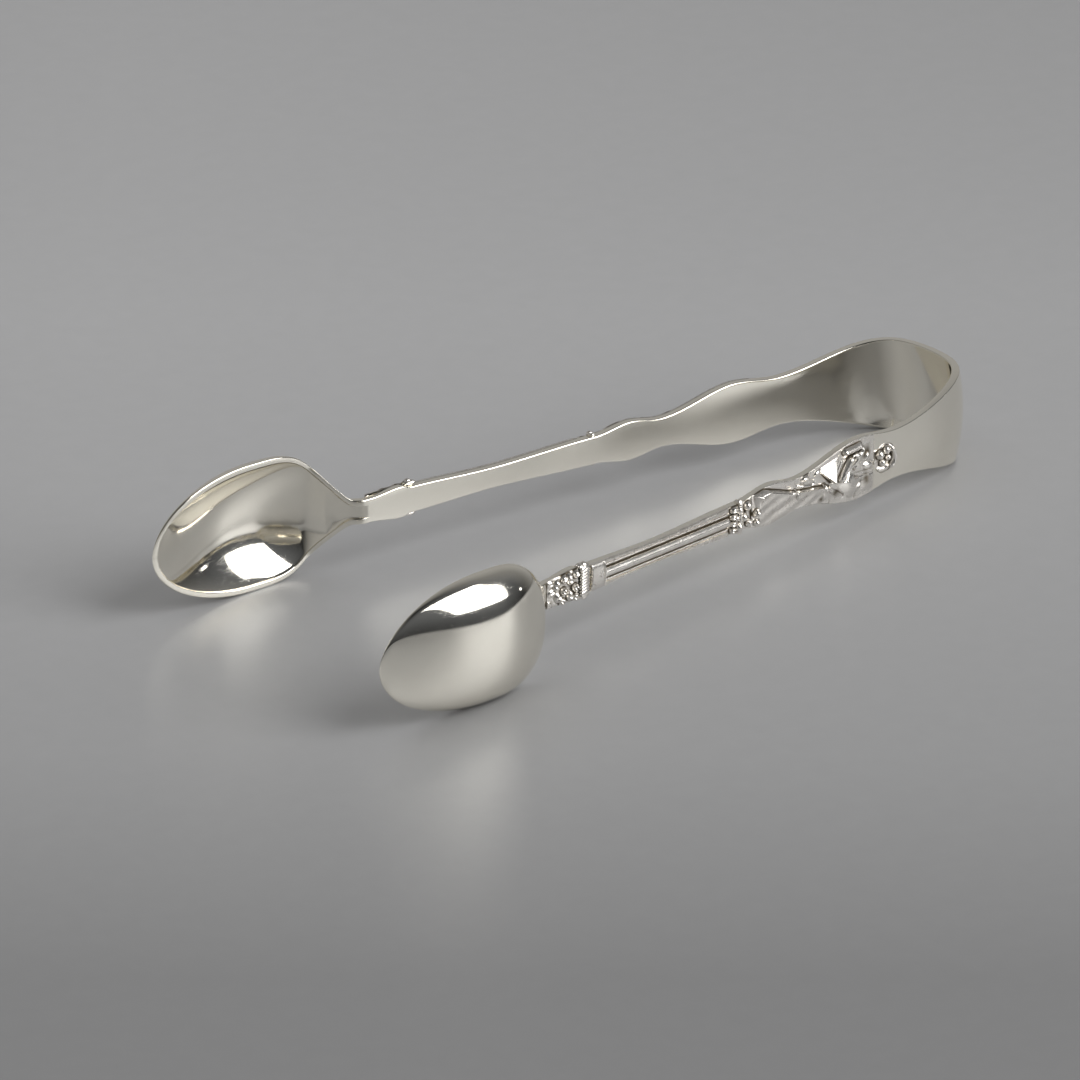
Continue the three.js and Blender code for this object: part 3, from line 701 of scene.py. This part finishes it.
def make_bowl(name, side):
    """Outer and inner skin joined by a rounded rim, running into the neck."""
    along = bowl_rows()
    reach = along[-1]
    x = X_TIP + along
    inner_x = X_TIP + RIM_THICKNESS + along * (reach - RIM_THICKNESS) / reach
    half, depth = bowl_half(x, 0), bowl_depth(x)
    inner_half, inner_depth = bowl_half(inner_x, RIM_THICKNESS), hollow_depth(inner_x)
    outer_fillet = np.minimum(RIM_ROUNDING, 0.3 * depth)
    inner_fillet = np.minimum(RIM_ROUNDING, 0.5 * inner_depth)
    rim_x, rim_z = inner_x - x, inner_half - half
    rim_width = np.hypot(rim_x, rim_z)

    def on_rim(inward, out, sign):
        share = inward / rim_width
        return x + rim_x * share, out, sign * (half + rim_z * share)

    def rim(sign):
        turns = np.linspace(0, math.pi / 2, 6)[1:]
        columns = []
        for a in turns:
            inward, out = 1 - math.cos(a), 1 - math.sin(a)
            columns.append(on_rim(outer_fillet * inward, outer_fillet * out, sign))
        for a in turns - turns[0]:
            inward, out = 1 - math.sin(a), 1 - math.cos(a)
            columns.append(on_rim(rim_width - inner_fillet * inward, inner_fillet * out, sign))
        return columns

    outside = bowl_arc(81, x, half, depth, outer_fillet)
    inside = bowl_arc(65, inner_x, inner_half, inner_depth, inner_fillet, HOLLOW_FLARE)
    columns = outside + rim(1) + inside[::-1] + rim(-1)[::-1]
    rings = np.stack([on_arm(cx, out, z, side) for cx, out, z in columns], 1)
    return make_loft(name, rings)


def clasp_path(x, spread, reach):
    """Points (outward, across) close round the arm's edges and clear of its face by reach."""
    half = float(max(blade_half(x - spread), blade_half(x), blade_half(x + spread)))
    upper = [(STRIP_THICKNESS - CLASP_DEPTH, half + CLASP_EDGE)]
    for angle in np.linspace(0, math.pi / 2, 14):
        inward = CLASP_CORNER - (CLASP_CORNER + CLASP_EDGE) * math.cos(angle)
        upper.append((STRIP_THICKNESS + reach * math.sin(angle), half - inward))
    upper.append((STRIP_THICKNESS + reach, half / 3))
    lower = [(out, -z) for out, z in reversed(upper)]
    return np.array(upper + lower)


def resampled(path, count):
    """The same path with evenly spaced points."""
    step = np.concatenate([[0], np.cumsum(np.hypot(*np.diff(path, axis=0).T))])
    at = np.linspace(0, step[-1], count)
    return np.stack([np.interp(at, step, path[:, k]) for k in (0, 1)], -1)


def make_clasp(name, side, x, spread, radius, stretch, profile, count=160, sides=40):
    """Bar bent round the arm; profile(share, angle) gives its radius as a share of the full one."""
    path = resampled(clasp_path(x, spread, radius + SOLDER), count)
    tangent = np.gradient(path, axis=0)
    tangent /= np.linalg.norm(tangent, axis=1)[:, None]
    normal = np.stack([-tangent[:, 1], tangent[:, 0]], -1)
    share = np.linspace(0, 1, count)[:, None]
    angle = np.linspace(0, 2 * math.pi, sides, endpoint=False)[None, :]
    ends = np.sqrt(np.clip(1 - np.clip(1 - np.minimum(share, 1 - share) * count / 6, 0, 1) ** 2, 0.02, 1))
    r = radius * profile(share, angle) * ends
    out = path[:, 0:1] + normal[:, 0:1] * r * np.sin(angle)
    z = path[:, 1:2] + normal[:, 1:2] * r * np.sin(angle)
    along = x + stretch * r * np.cos(angle)
    return make_loft(name, on_arm(along, out, z, side))


def make_knop(name, side, x, out, z, radius):
    """Small ball with five shallow flutes at the arm's edge."""
    turn = np.linspace(0, 2 * math.pi, 40, endpoint=False)[None, :]
    rise = np.linspace(-math.pi / 2 + 0.05, math.pi / 2 - 0.05, 24)[:, None]
    r = radius * (1 + 0.06 * np.cos(5 * turn)) * np.cos(rise)
    points = on_arm(x + r * np.cos(turn), out + r * np.sin(turn), z + radius * np.sin(rise), side)
    return make_loft(name, points)


KNOP_RADIUS = 1.6 * COLLAR_RADIUS
RING_KNOP_RADIUS = 0.6
COLLAR_BEADS = 11
BEAD_SINK = 0.08
BAND_STRETCH = 1.4
ROPE_STRANDS = 3
ROPE_TURNS = 5


def make_rope_ring(name, side):
    """Twisted ring round the shaft's foot, with a knop at each edge."""
    def twisted(share, angle):
        return 0.7 + 0.3 * np.abs(np.cos(ROPE_STRANDS * (angle / 2 - ROPE_TURNS * share * math.pi)))

    stretch = RING_LENGTH / (2 * RING_RADIUS)
    ring = make_clasp(name, side, X_RING, RING_LENGTH / 2, RING_RADIUS, stretch, twisted)
    path = clasp_path(X_RING, RING_LENGTH / 2, RING_RADIUS + SOLDER)
    parts = [ring]
    for out, z in (path[1], path[-2]):
        parts.append(make_knop(f"{name}_knop", side, X_RING, out, z, RING_KNOP_RADIUS))
    for part in parts:
        set_attribute(part, "cavity", np.zeros(len(part.data.vertices)))
    return join_pieces(name, parts)


def make_upper_collar(name, side):
    """Berries and fringe on the arm's face, over a beaded band with a knop at each edge."""
    middle = X_COLLAR - COLLAR_LENGTH / 2

    def beaded(share, angle):
        return mix(1, np.cos(2 * COLLAR_BEADS * share * math.pi), BEAD_SINK) * np.ones_like(angle)

    band = make_clasp(name + "_band", side, middle, COLLAR_RADIUS, COLLAR_RADIUS, BAND_STRETCH, beaded)
    path = clasp_path(middle, COLLAR_RADIUS, COLLAR_RADIUS + SOLDER)
    knops = []
    for out, z in (path[1], path[-2]):
        knops.append(make_knop(f"{name}_knop", side, middle, out, z, KNOP_RADIUS))
    front = make_relief(name, side, X_COLLAR - COLLAR_LENGTH, X_COLLAR, inset_half(0.05), collar_relief)
    for part in (band, *knops):
        set_attribute(part, "cavity", np.zeros(len(part.data.vertices)))
    return join_pieces(name, [front, band, *knops])


# Shaft section, from the middle out: reed, groove, thread and a flat border that reaches the edge
GROOVE_WIDTH = 0.3
THREAD_HALF = 0.22
THREAD_GAP = 0.04
BORDER_HEIGHT = 0.3
BORDER_TARNISH = 0.12
BORDER_EDGE = 0.05
BORDER_RAMP = 0.15
REED_RISE = 1.1
THREAD_RISE = 1.3
SHAFT_FLOOR = 0.02
# Plain block at the shaft's foot: its section, its step up from the shaft and the groove across it
BLOCK_RISE = 1.05
BLOCK_SIDE_SHARE = 0.25
BLOCK_STEP = 0.2
BLOCK_FINE_REACH = 0.3
SHAFT_END_ROUNDING = 0.25
GROOVE_SETBACK = 0.35
GROOVE_REACH = 0.12
GROOVE_SINK = 0.35


def half_round(across, radius):
    """Height of a round bar that lies half sunk in the face."""
    return np.sqrt(np.clip(radius ** 2 - across ** 2, 0, None))


def reed_section():
    """Places across the shaft as (fixed part, share of the border), their heights and darkness: tarnish, and
    in the groove also painted shade.
    """
    thread = REED_RADIUS + GROOVE_WIDTH + THREAD_HALF
    inner = thread + THREAD_HALF + THREAD_GAP
    fixed = np.linspace(0, inner, 100)
    reed = REED_RISE * half_round(fixed, REED_RADIUS)
    height = np.maximum(reed, THREAD_RISE * half_round(fixed - thread, THREAD_HALF))
    # Painted shade: the groove between reed and thread gets full darkness, standing for its self-shadow and
    # dark reflection as well as its tarnish.
    dark = np.where((fixed > 0.97 * REED_RADIUS) & (fixed < thread - THREAD_HALF), 1.0, 0.0)
    border = np.linspace(0, 1, 24)[1:]
    fixed = np.concatenate([fixed, np.full(border.shape, inner)])
    share = np.concatenate([np.zeros(height.shape), border])
    height = np.concatenate([height, BORDER_HEIGHT * smooth(border / BORDER_RAMP)]) + SHAFT_FLOOR
    dark = np.concatenate([dark, np.full(border.shape, BORDER_TARNISH)])
    mirror = slice(None, 0, -1)
    sides = np.concatenate([np.full(fixed.size - 1, -1.0), np.ones(fixed.size)])
    return sides, *(np.concatenate([a[mirror], a]) for a in (fixed, share, height, dark))


def make_shaft_reed(name, side):
    """Reeded bar with borders out to the arm's edges, ending in a plain rounded block."""
    block_top = X_REED_END + BLOCK_LENGTH
    sides, fixed, share, height, dark = reed_section()
    block = np.linspace(X_REED_END, block_top + BLOCK_FINE_REACH, 70)
    shaft = np.linspace(block_top + BLOCK_FINE_REACH + 0.05, X_REED, 160)
    x = np.concatenate([block, shaft])
    half = (blade_half(x) + OVERLAP)[:, None]
    z = fixed + share * (half - fixed)
    dome = np.sqrt(np.clip(1 - (z / half) ** 2, 0, 1))
    hump = BLOCK_RISE * REED_RADIUS * mix(BLOCK_SIDE_SHARE, 1, dome)
    into_block = smooth((block_top - x) / BLOCK_STEP + 0.5)[:, None]
    ends = eased(np.minimum(x - X_REED_END, X_REED - x), SHAFT_END_ROUNDING)[:, None]
    groove = np.exp(-((x - block_top + GROOVE_SETBACK) / GROOVE_REACH) ** 2)[:, None]
    raised = mix(height[None, :], hump, into_block) * ends * (1 - GROOVE_SINK * groove)
    raised = raised * eased(half - z, BORDER_EDGE)
    grid_x = np.repeat(x[:, None], fixed.size, 1)
    # The darkness goes in as the cavity: tarnish, with painted shade in the groove.
    return let_in(name, side, grid_x, sides * z, raised, dark[None, :] * (1 - into_block))


def bezier(points, t):
    """Places and slopes of a cubic curve."""
    a, b, c, d = (np.array(p)[None, :] for p in points)
    t = t[:, None]
    place = a * (1 - t) ** 3 + 3 * b * t * (1 - t) ** 2 + 3 * c * t * t * (1 - t) + d * t ** 3
    slope = 3 * (b - a) * (1 - t) ** 2 + 6 * (c - b) * t * (1 - t) + 3 * (d - c) * t * t
    return place, slope


def make_half_bow(name, side):
    """From the crown to one arm: a dished strip that narrows to the waist."""
    half = STRIP_THICKNESS / 2
    crown = (X_CROWN - CROWN_DISH - half, 0.0)
    joint = (X_JOINT, float(inner_line(X_JOINT)) + half)
    pull = SIDE_FULLNESS * BOW_REACH
    control = [crown, (crown[0], CROWN_FULLNESS * joint[1]),
               (joint[0] + pull * math.cos(ARM_SPLAY), joint[1] - pull * math.sin(ARM_SPLAY)), joint]
    fine_t = np.linspace(0, 1, 4001)
    fine_place, _ = bezier(control, fine_t)
    run = np.concatenate([[0], np.cumsum(np.hypot(*np.diff(fine_place, axis=0).T))])
    share = np.concatenate([[0, 0.0004], np.linspace(0.004, 0.996, 200), [0.9996, 1]])
    t = np.interp(share * run[-1], run, fine_t)
    place, slope = bezier(control, t)
    slope /= np.linalg.norm(slope, axis=1)[:, None]
    normal = np.stack([slope[:, 1], -slope[:, 0]], -1)
    normal[0] = (1, 0)
    square_on = smooth((share - SQUARE_SHARE) / (1 - SQUARE_SHARE))[:, None]
    normal = mix(normal, np.array([[0.0, 1.0]]), square_on)
    taper = smooth((share * run[-1] - CROWN_FLAT / 2) / (run[-1] - CROWN_FLAT / 2))
    width = mix(CROWN_WIDTH, WAIST_WIDTH, taper) / 2
    dish = CROWN_DISH * (1 - smooth(share))
    rings = []
    for out, across, rise in strip_section():
        z = across * (width - STRIP_CORNER) + rise
        reach = out + dish * (1 - (z / width) ** 2)
        rings.append(np.stack([place[:, 0] + normal[:, 0] * reach,
                               side * (place[:, 1] + normal[:, 1] * reach), z], -1))
    points = lay(np.stack(rings, 1))
    faces = grid_faces(len(points), points.shape[1], wrap=True)
    piece = make_object(name, points, faces, inside_out(points, faces))
    return piece, points[0].mean(0), points[-1].mean(0)


# Materials

def add_node(tree, kind, **settings):
    """New node with its inputs or properties set by name."""
    node = tree.nodes.new(kind)
    for key, value in settings.items():
        if key in node.inputs:
            node.inputs[key].default_value = value
        else:
            setattr(node, key, value)
    return node


def ramp_of(tree, source, stops):
    """Colour ramp through (place, colour) stops."""
    ramp = tree.nodes.new("ShaderNodeValToRGB")
    elements = ramp.color_ramp.elements
    while len(elements) < len(stops):
        elements.new(0.5)
    for element, (place, colour) in zip(elements, stops):
        element.position = place
        element.color = (*colour, 1)
    tree.links.new(source, ramp.inputs["Fac"])
    return ramp.outputs["Color"]


def range_of(tree, source, low, high, to_low, to_high):
    """A value moved from one range to another and held within it."""
    node = add_node(tree, "ShaderNodeMapRange")
    node.inputs["From Min"].default_value = low
    node.inputs["From Max"].default_value = high
    node.inputs["To Min"].default_value = to_low
    node.inputs["To Max"].default_value = to_high
    tree.links.new(source, node.inputs["Value"])
    return node.outputs["Result"]


def combined(tree, operation, a, b):
    """Two values, linked or given, put through an operation."""
    node = add_node(tree, "ShaderNodeMath", operation=operation)
    for k, value in enumerate((a, b)):
        if isinstance(value, (int, float)):
            node.inputs[k].default_value = value
        else:
            tree.links.new(value, node.inputs[k])
    return node.outputs["Value"]


def along_of(tree, place, toward):
    """How far a place lies along a direction."""
    node = add_node(tree, "ShaderNodeVectorMath", operation="DOT_PRODUCT")
    tree.links.new(place, node.inputs[0])
    node.inputs[1].default_value = toward
    return node.outputs["Value"]


def scaled(tree, colour, factor):
    """A colour, linked or given, times a linked value."""
    node = add_node(tree, "ShaderNodeVectorMath", operation="SCALE")
    if isinstance(colour, tuple):
        node.inputs[0].default_value = colour[:3]
    else:
        tree.links.new(colour, node.inputs[0])
    tree.links.new(factor, node.inputs["Scale"])
    return node.outputs["Vector"]


def summed(tree, colour, other):
    """The sum of a linked colour and another, linked or given."""
    node = add_node(tree, "ShaderNodeVectorMath", operation="ADD")
    tree.links.new(colour, node.inputs[0])
    if isinstance(other, tuple):
        node.inputs[1].default_value = other
    else:
        tree.links.new(other, node.inputs[1])
    return node.outputs["Vector"]


def noise_of(tree, coordinates, scale, detail=4.0, roughness=0.55):
    """Soft noise between 0 and 1."""
    noise = add_node(tree, "ShaderNodeTexNoise")
    noise.inputs["Scale"].default_value = scale
    noise.inputs["Detail"].default_value = detail
    noise.inputs["Roughness"].default_value = roughness
    tree.links.new(coordinates, noise.inputs["Vector"])
    return noise.outputs["Fac"]


# Wear of the silver: sizes of its noises, and two sets of hairlines with their turns
CLOUD_SCALE = 160
HAZE_SCALE = 420
PATCH_SCALE = 900
WEAR_SCALE = 500
HAIRLINES = [(210, (0.3, 0.5, 0.9)), (330, (1.1, 2.0, 2.4))]
HAIRLINE_WIDTH = 0.012
HAIRLINE_STRETCH = 5
HAIRLINE_ROUGHNESS = 0.12
HAIRLINE_DEPTH = 0.5
TARNISH_RANGE = (0.02, 0.55)
TARNISH_PATCH = 0.12
TARNISH_ROUGHNESS = 0.25
WEAR_STRENGTH = 0.12
WEAR_DEPTH = 0.00002


def scratches(tree, coordinates, scale, turn):
    """Thin random hairlines: the borders of stretched cells, broken up by a mask."""
    mapping = add_node(tree, "ShaderNodeMapping")
    mapping.inputs["Rotation"].default_value = turn
    mapping.inputs["Scale"].default_value = (1, HAIRLINE_STRETCH, HAIRLINE_STRETCH)
    tree.links.new(coordinates, mapping.inputs["Vector"])
    cells = add_node(tree, "ShaderNodeTexVoronoi", feature="DISTANCE_TO_EDGE")
    cells.inputs["Scale"].default_value = scale
    tree.links.new(mapping.outputs["Vector"], cells.inputs["Vector"])
    line = range_of(tree, cells.outputs["Distance"], 0, HAIRLINE_WIDTH, 1, 0)
    mask = range_of(tree, noise_of(tree, coordinates, 3 * scale), 0.52, 0.62, 0, 1)
    return combined(tree, "MULTIPLY", line, mask)


def tarnished(tree, place, colour, rough, tarnish):
    """Colour and roughness with dark, dull metal in the hollows."""
    cavity = add_node(tree, "ShaderNodeAttribute", attribute_name="cavity").outputs["Fac"]
    patch = range_of(tree, noise_of(tree, place, PATCH_SCALE), 0.3, 0.7, -TARNISH_PATCH, TARNISH_PATCH)
    depth = range_of(tree, combined(tree, "ADD", cavity, patch), *TARNISH_RANGE, 0, 1)
    blend = add_node(tree, "ShaderNodeMix", data_type="RGBA")
    tree.links.new(depth, blend.inputs["Factor"])
    tree.links.new(colour, blend.inputs[6])
    blend.inputs[7].default_value = (*tarnish, 1)
    rough = combined(tree, "ADD", rough, combined(tree, "MULTIPLY", depth, TARNISH_ROUGHNESS))
    return blend.outputs[2], rough


def worn_normal(tree, place, lines):
    """Normal of a surface with hairlines and faint unevenness."""
    cuts = combined(tree, "MULTIPLY", lines, HAIRLINE_DEPTH)
    wear = combined(tree, "SUBTRACT", noise_of(tree, place, WEAR_SCALE, detail=3), cuts)
    bump = add_node(tree, "ShaderNodeBump")
    bump.inputs["Strength"].default_value = WEAR_STRENGTH
    bump.inputs["Distance"].default_value = WEAR_DEPTH
    tree.links.new(wear, bump.inputs["Height"])
    return bump.outputs["Normal"]


def make_silver(name, bright, dull, roughness, tarnish=None):
    """Polished silver with faint cloudiness, hairlines and, where asked, dark metal in the hollows."""
    material = bpy.data.materials.new(name)
    material.use_nodes = True
    tree = material.node_tree
    shader = tree.nodes["Principled BSDF"]
    shader.inputs["Metallic"].default_value = 1.0
    place = add_node(tree, "ShaderNodeTexCoord").outputs["Object"]
    clouds = noise_of(tree, place, CLOUD_SCALE, detail=5)
    colour = ramp_of(tree, clouds, [(0.3, dull), (0.7, bright)])
    lines = combined(tree, "MAXIMUM", *(scratches(tree, place, *hairline) for hairline in HAIRLINES))
    haze = range_of(tree, noise_of(tree, place, HAZE_SCALE, detail=6), 0.3, 0.75, *roughness)
    rough = combined(tree, "ADD", haze, combined(tree, "MULTIPLY", lines, HAIRLINE_ROUGHNESS))
    if tarnish:
        colour, rough = tarnished(tree, place, colour, rough, tarnish)
    tree.links.new(colour, shader.inputs["Base Color"])
    tree.links.new(rough, shader.inputs["Roughness"])
    tree.links.new(worn_normal(tree, place, lines), shader.inputs["Normal"])
    return material


# Floor grey with painted light falloff, paler away from the camera and to its left: tones along the line of
# sight, in metres from the middle, and across it
FLOOR_DEPTHS = (-0.15, -0.075, 0.0, 0.1, 0.16)
FLOOR_PAINTED_FALLOFF_TONES = (0.203, 0.297, 0.345, 0.388, 0.382)
FLOOR_SIDE_REACH = 0.09
FLOOR_PAINTED_SIDE_LIGHT = (1.09, 0.90)
FLOOR_BLUE = 1.012
FLOOR_MOTTLE = 0.015
FLOOR_MOTTLE_SCALE = 240
FLOOR_ROUGHNESS = 0.44
FLOOR_SHEEN = 1.0


def painted_floor_falloff(tree, place):
    """Grey with painted light falloff: it grows paler away from the camera and to its left."""
    c, s = math.cos(CAMERA_AZIMUTH), math.sin(CAMERA_AZIMUTH)
    depth = along_of(tree, place, (-s, c, 0))
    low, high = FLOOR_DEPTHS[0], FLOOR_DEPTHS[-1]
    share = range_of(tree, depth, low, high, 0, 1)
    stops = []
    for place_on, tone in zip(FLOOR_DEPTHS, FLOOR_PAINTED_FALLOFF_TONES):
        stops.append(((place_on - low) / (high - low), (tone, tone, FLOOR_BLUE * tone)))
    # Painted light falloff: the floor is darker towards the camera and paler away from it.
    grey = ramp_of(tree, share, stops)
    across = along_of(tree, place, (c, s, 0))
    # Painted side light: the floor is paler to the camera's left.
    beside = range_of(tree, across, -FLOOR_SIDE_REACH, FLOOR_SIDE_REACH, *FLOOR_PAINTED_SIDE_LIGHT)
    return scaled(tree, grey, beside)


def make_floor_material():
    """Grey studio paper with painted light falloff, a faint mottle and a low sheen."""
    material = bpy.data.materials.new("studio_floor")
    material.use_nodes = True
    tree = material.node_tree
    shader = tree.nodes["Principled BSDF"]
    place = add_node(tree, "ShaderNodeTexCoord").outputs["Object"]
    noise = noise_of(tree, place, FLOOR_MOTTLE_SCALE, detail=3)
    mottle = range_of(tree, noise, 0.3, 0.7, 1 - FLOOR_MOTTLE, 1 + FLOOR_MOTTLE)
    tree.links.new(scaled(tree, painted_floor_falloff(tree, place), mottle), shader.inputs["Base Color"])
    shader.inputs["Roughness"].default_value = FLOOR_ROUGHNESS
    shader.inputs["Specular IOR Level"].default_value = FLOOR_SHEEN
    return material


# Camera, fitted to the photo
CAMERA_AZIMUTH = math.radians(-41.124)
CAMERA_ELEVATION = math.radians(24.4525)
CAMERA_PLACE = (-0.88528, -0.99636, 0.60876)
CAMERA_LENS = 300
SENSOR_WIDTH = 36

# Finish of the silver: bright and dull colour, range of roughness, colour of the hollows
PLAIN = make_silver("plain_silver", (0.98, 0.945, 0.85), (0.945, 0.905, 0.81), (0.05, 0.11))
# Colour of the tarnish in the hollows, also used as painted shade in the shaft's groove.
TARNISH_AND_GROOVE_SHADE = (0.15, 0.125, 0.09)
CHASED = make_silver("chased_silver", (0.94, 0.905, 0.85), (0.89, 0.85, 0.79), (0.2, 0.28), TARNISH_AND_GROOVE_SHADE)


# Build the object

def dress(piece, material, nodes, body=None):
    """Finish a piece, hide the nodes it stands for and tie it to the body it rides on."""
    piece.data.set_sharp_from_angle(angle=CREASE)
    piece.data.materials.clear()
    piece.data.materials.append(material)
    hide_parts(*nodes)
    if body:
        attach(piece, body)


def inset_half(margin):
    """Outline that stays inside the arm's edge by a margin."""
    return lambda x: blade_half(x) - margin


def crest_half(x):
    """Round outline of the crest."""
    radius = CREST_LENGTH / 2
    middle = X_CREST - radius
    return np.sqrt(np.clip(radius ** 2 - (x - middle) ** 2, 0.01, None))


def make_crest(name, side):
    """Round mount over the joint of bow and arm."""
    return make_relief(name, side, X_CREST - CREST_LENGTH, X_CREST, crest_half, crest_relief)


def make_cartouche(name, side):
    """Upper part of the scrollwork."""
    low = X_LEAF + PIECE_GAP / 2
    half = inset_half(-OVERLAP)
    return make_relief(name, side, low, X_CARTOUCHE, half, scrollwork, (True, False), stained)


def make_acanthus(name, side):
    """Lower part of the scrollwork, with the long leaf."""
    low, high = X_LEAF - LEAF_LENGTH, X_LEAF + PIECE_GAP / 2
    half = inset_half(-OVERLAP)
    return make_relief(name, side, low, high, half, scrollwork, (False, True), stained)


def make_calyx(name, side):
    """Buds over the joint of arm and bowl."""
    return make_relief(name, side, X_CALYX_END, X_CALYX, calyx_half, calyx_relief)


PLAIN_MAKERS = {"blade": make_blade, "bowl": make_bowl}
CHASED_MAKERS = {
    "crest": make_crest,
    "cartouche": make_cartouche,
    "acanthus": make_acanthus,
    "upper_collar": make_upper_collar,
    "shaft_reed": make_shaft_reed,
    "rope_ring": make_rope_ring,
    "calyx": make_calyx,
}


def make_side(arm, side):
    """One half of the bow and the pieces that ride on the arm."""
    body = f"{arm}_arm"
    bow, crown_end, arm_end = make_half_bow(f"{arm}_half_bow", side)
    dress(bow, PLAIN, ["spring_bow"])
    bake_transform(bow)
    for part, maker in PLAIN_MAKERS.items():
        dress(maker(f"{arm}_{part}_silver", side), PLAIN, [f"{arm}_{part}"], body)
    for part, maker in CHASED_MAKERS.items():
        dress(maker(f"{arm}_{part}_relief", side), CHASED, [f"{arm}_{part}"], body)


# Floor, light and camera

FLOOR_SIZE = 3.0


def make_floor():
    """Flat sheet under the tongs."""
    mesh = bpy.data.meshes.new("studio_floor")
    corners = [(-FLOOR_SIZE, -FLOOR_SIZE, 0), (FLOOR_SIZE, -FLOOR_SIZE, 0),
               (FLOOR_SIZE, FLOOR_SIZE, 0), (-FLOOR_SIZE, FLOOR_SIZE, 0)]
    mesh.from_pydata(corners, [], [(0, 1, 2, 3)])
    floor = bpy.data.objects.new("studio_floor", mesh)
    bpy.context.collection.objects.link(floor)
    mesh.materials.append(make_floor_material())


def direction(azimuth, elevation):
    """Unit vector; azimuth runs from +X towards +Y, both in degrees."""
    a, e = math.radians(azimuth), math.radians(elevation)
    return Vector((math.cos(a) * math.cos(e), math.sin(a) * math.cos(e), math.sin(e)))


def add_softbox(name, toward, distance, size, power):
    """Rectangular lamp that shines on the tongs from a direction."""
    place = direction(*toward) * distance
    data = bpy.data.lights.new(name, "AREA")
    data.shape = "RECTANGLE"
    data.size, data.size_y = size
    data.energy = power
    lamp = bpy.data.objects.new(name, data)
    lamp.location = place
    lamp.rotation_euler = (-place).to_track_quat("-Z", "Y").to_euler()
    bpy.context.collection.objects.link(lamp)
    return lamp


# Room: each glow has a direction, the angles of its outer edge and full core, a strength and a tint
ROOM_LEVEL = 0.022
ROOM_GLOWS = [
    ((49, 12), 75, 25, 0.30, (1.0, 0.99, 0.97)),
    ((-62, 38), 50, 24, 0.085, (0.92, 0.97, 1.06)),
    ((165, 6), 75, 30, 0.28, (1.0, 0.985, 0.95)),
]
# Lamps: direction in degrees, distance and size in metres, power in watts
KEY_DIRECTION = (-64, 39)
KEY_DISTANCE = 0.9
KEY_SIZE = (0.62, 0.78)
KEY_POWER = 7.5
FILL_DIRECTION = (100, 74)
FILL_DISTANCE = 1.0
FILL_SIZE = (1.2, 1.2)
FILL_POWER = 4.4
SIDE_DIRECTION = (-30, 10)
SIDE_DISTANCE = 0.9
SIDE_SIZE = (0.035, 0.035)
SIDE_POWER = 0.02


def make_world():
    """Dark room with soft glows behind the tongs, round the key softbox and beyond the bowls."""
    world = bpy.data.worlds.new("studio_room")
    world.use_nodes = True
    tree = world.node_tree
    background = tree.nodes["Background"]
    look = add_node(tree, "ShaderNodeTexCoord").outputs["Generated"]
    total = (ROOM_LEVEL, ROOM_LEVEL, ROOM_LEVEL)
    for toward, edge, core, strength, tint in ROOM_GLOWS:
        facing = along_of(tree, look, direction(*toward))
        limits = math.cos(math.radians(edge)), math.cos(math.radians(core))
        glow = scaled(tree, (*tint, 1), range_of(tree, facing, *limits, 0, strength))
        total = summed(tree, glow, total)
    tree.links.new(total, background.inputs["Color"])
    bpy.context.scene.world = world


def make_camera():
    """Long-lens camera at the photo's place and angle."""
    data = bpy.data.cameras.new("photo_camera")
    data.lens = CAMERA_LENS
    data.sensor_width = SENSOR_WIDTH
    data.clip_end = 20
    camera = bpy.data.objects.new("photo_camera", data)
    a, e = CAMERA_AZIMUTH, CAMERA_ELEVATION
    right = Vector((math.cos(a), math.sin(a), 0))
    back = Vector((math.sin(a) * math.cos(e), -math.cos(a) * math.cos(e), math.sin(e)))
    up = back.cross(right)
    turn = Matrix((right, up, back)).transposed().to_4x4()
    camera.matrix_world = Matrix.Translation(CAMERA_PLACE) @ turn
    bpy.context.collection.objects.link(camera)
    bpy.context.scene.camera = camera


def make_lamps():
    """Key softbox in front, a small lamp beside it and a high fill that mirrors don't show."""
    add_softbox("key_softbox", KEY_DIRECTION, KEY_DISTANCE, KEY_SIZE, KEY_POWER)
    add_softbox("side_lamp", SIDE_DIRECTION, SIDE_DISTANCE, SIDE_SIZE, SIDE_POWER)
    fill = add_softbox("fill_softbox", FILL_DIRECTION, FILL_DISTANCE, FILL_SIZE, FILL_POWER)
    fill.visible_glossy = False


for arm, side in (("left", 1), ("right", -1)):
    make_side(arm, side)
make_floor()
make_world()
make_lamps()
make_camera()
bpy.context.scene.view_settings.view_transform = "Standard"
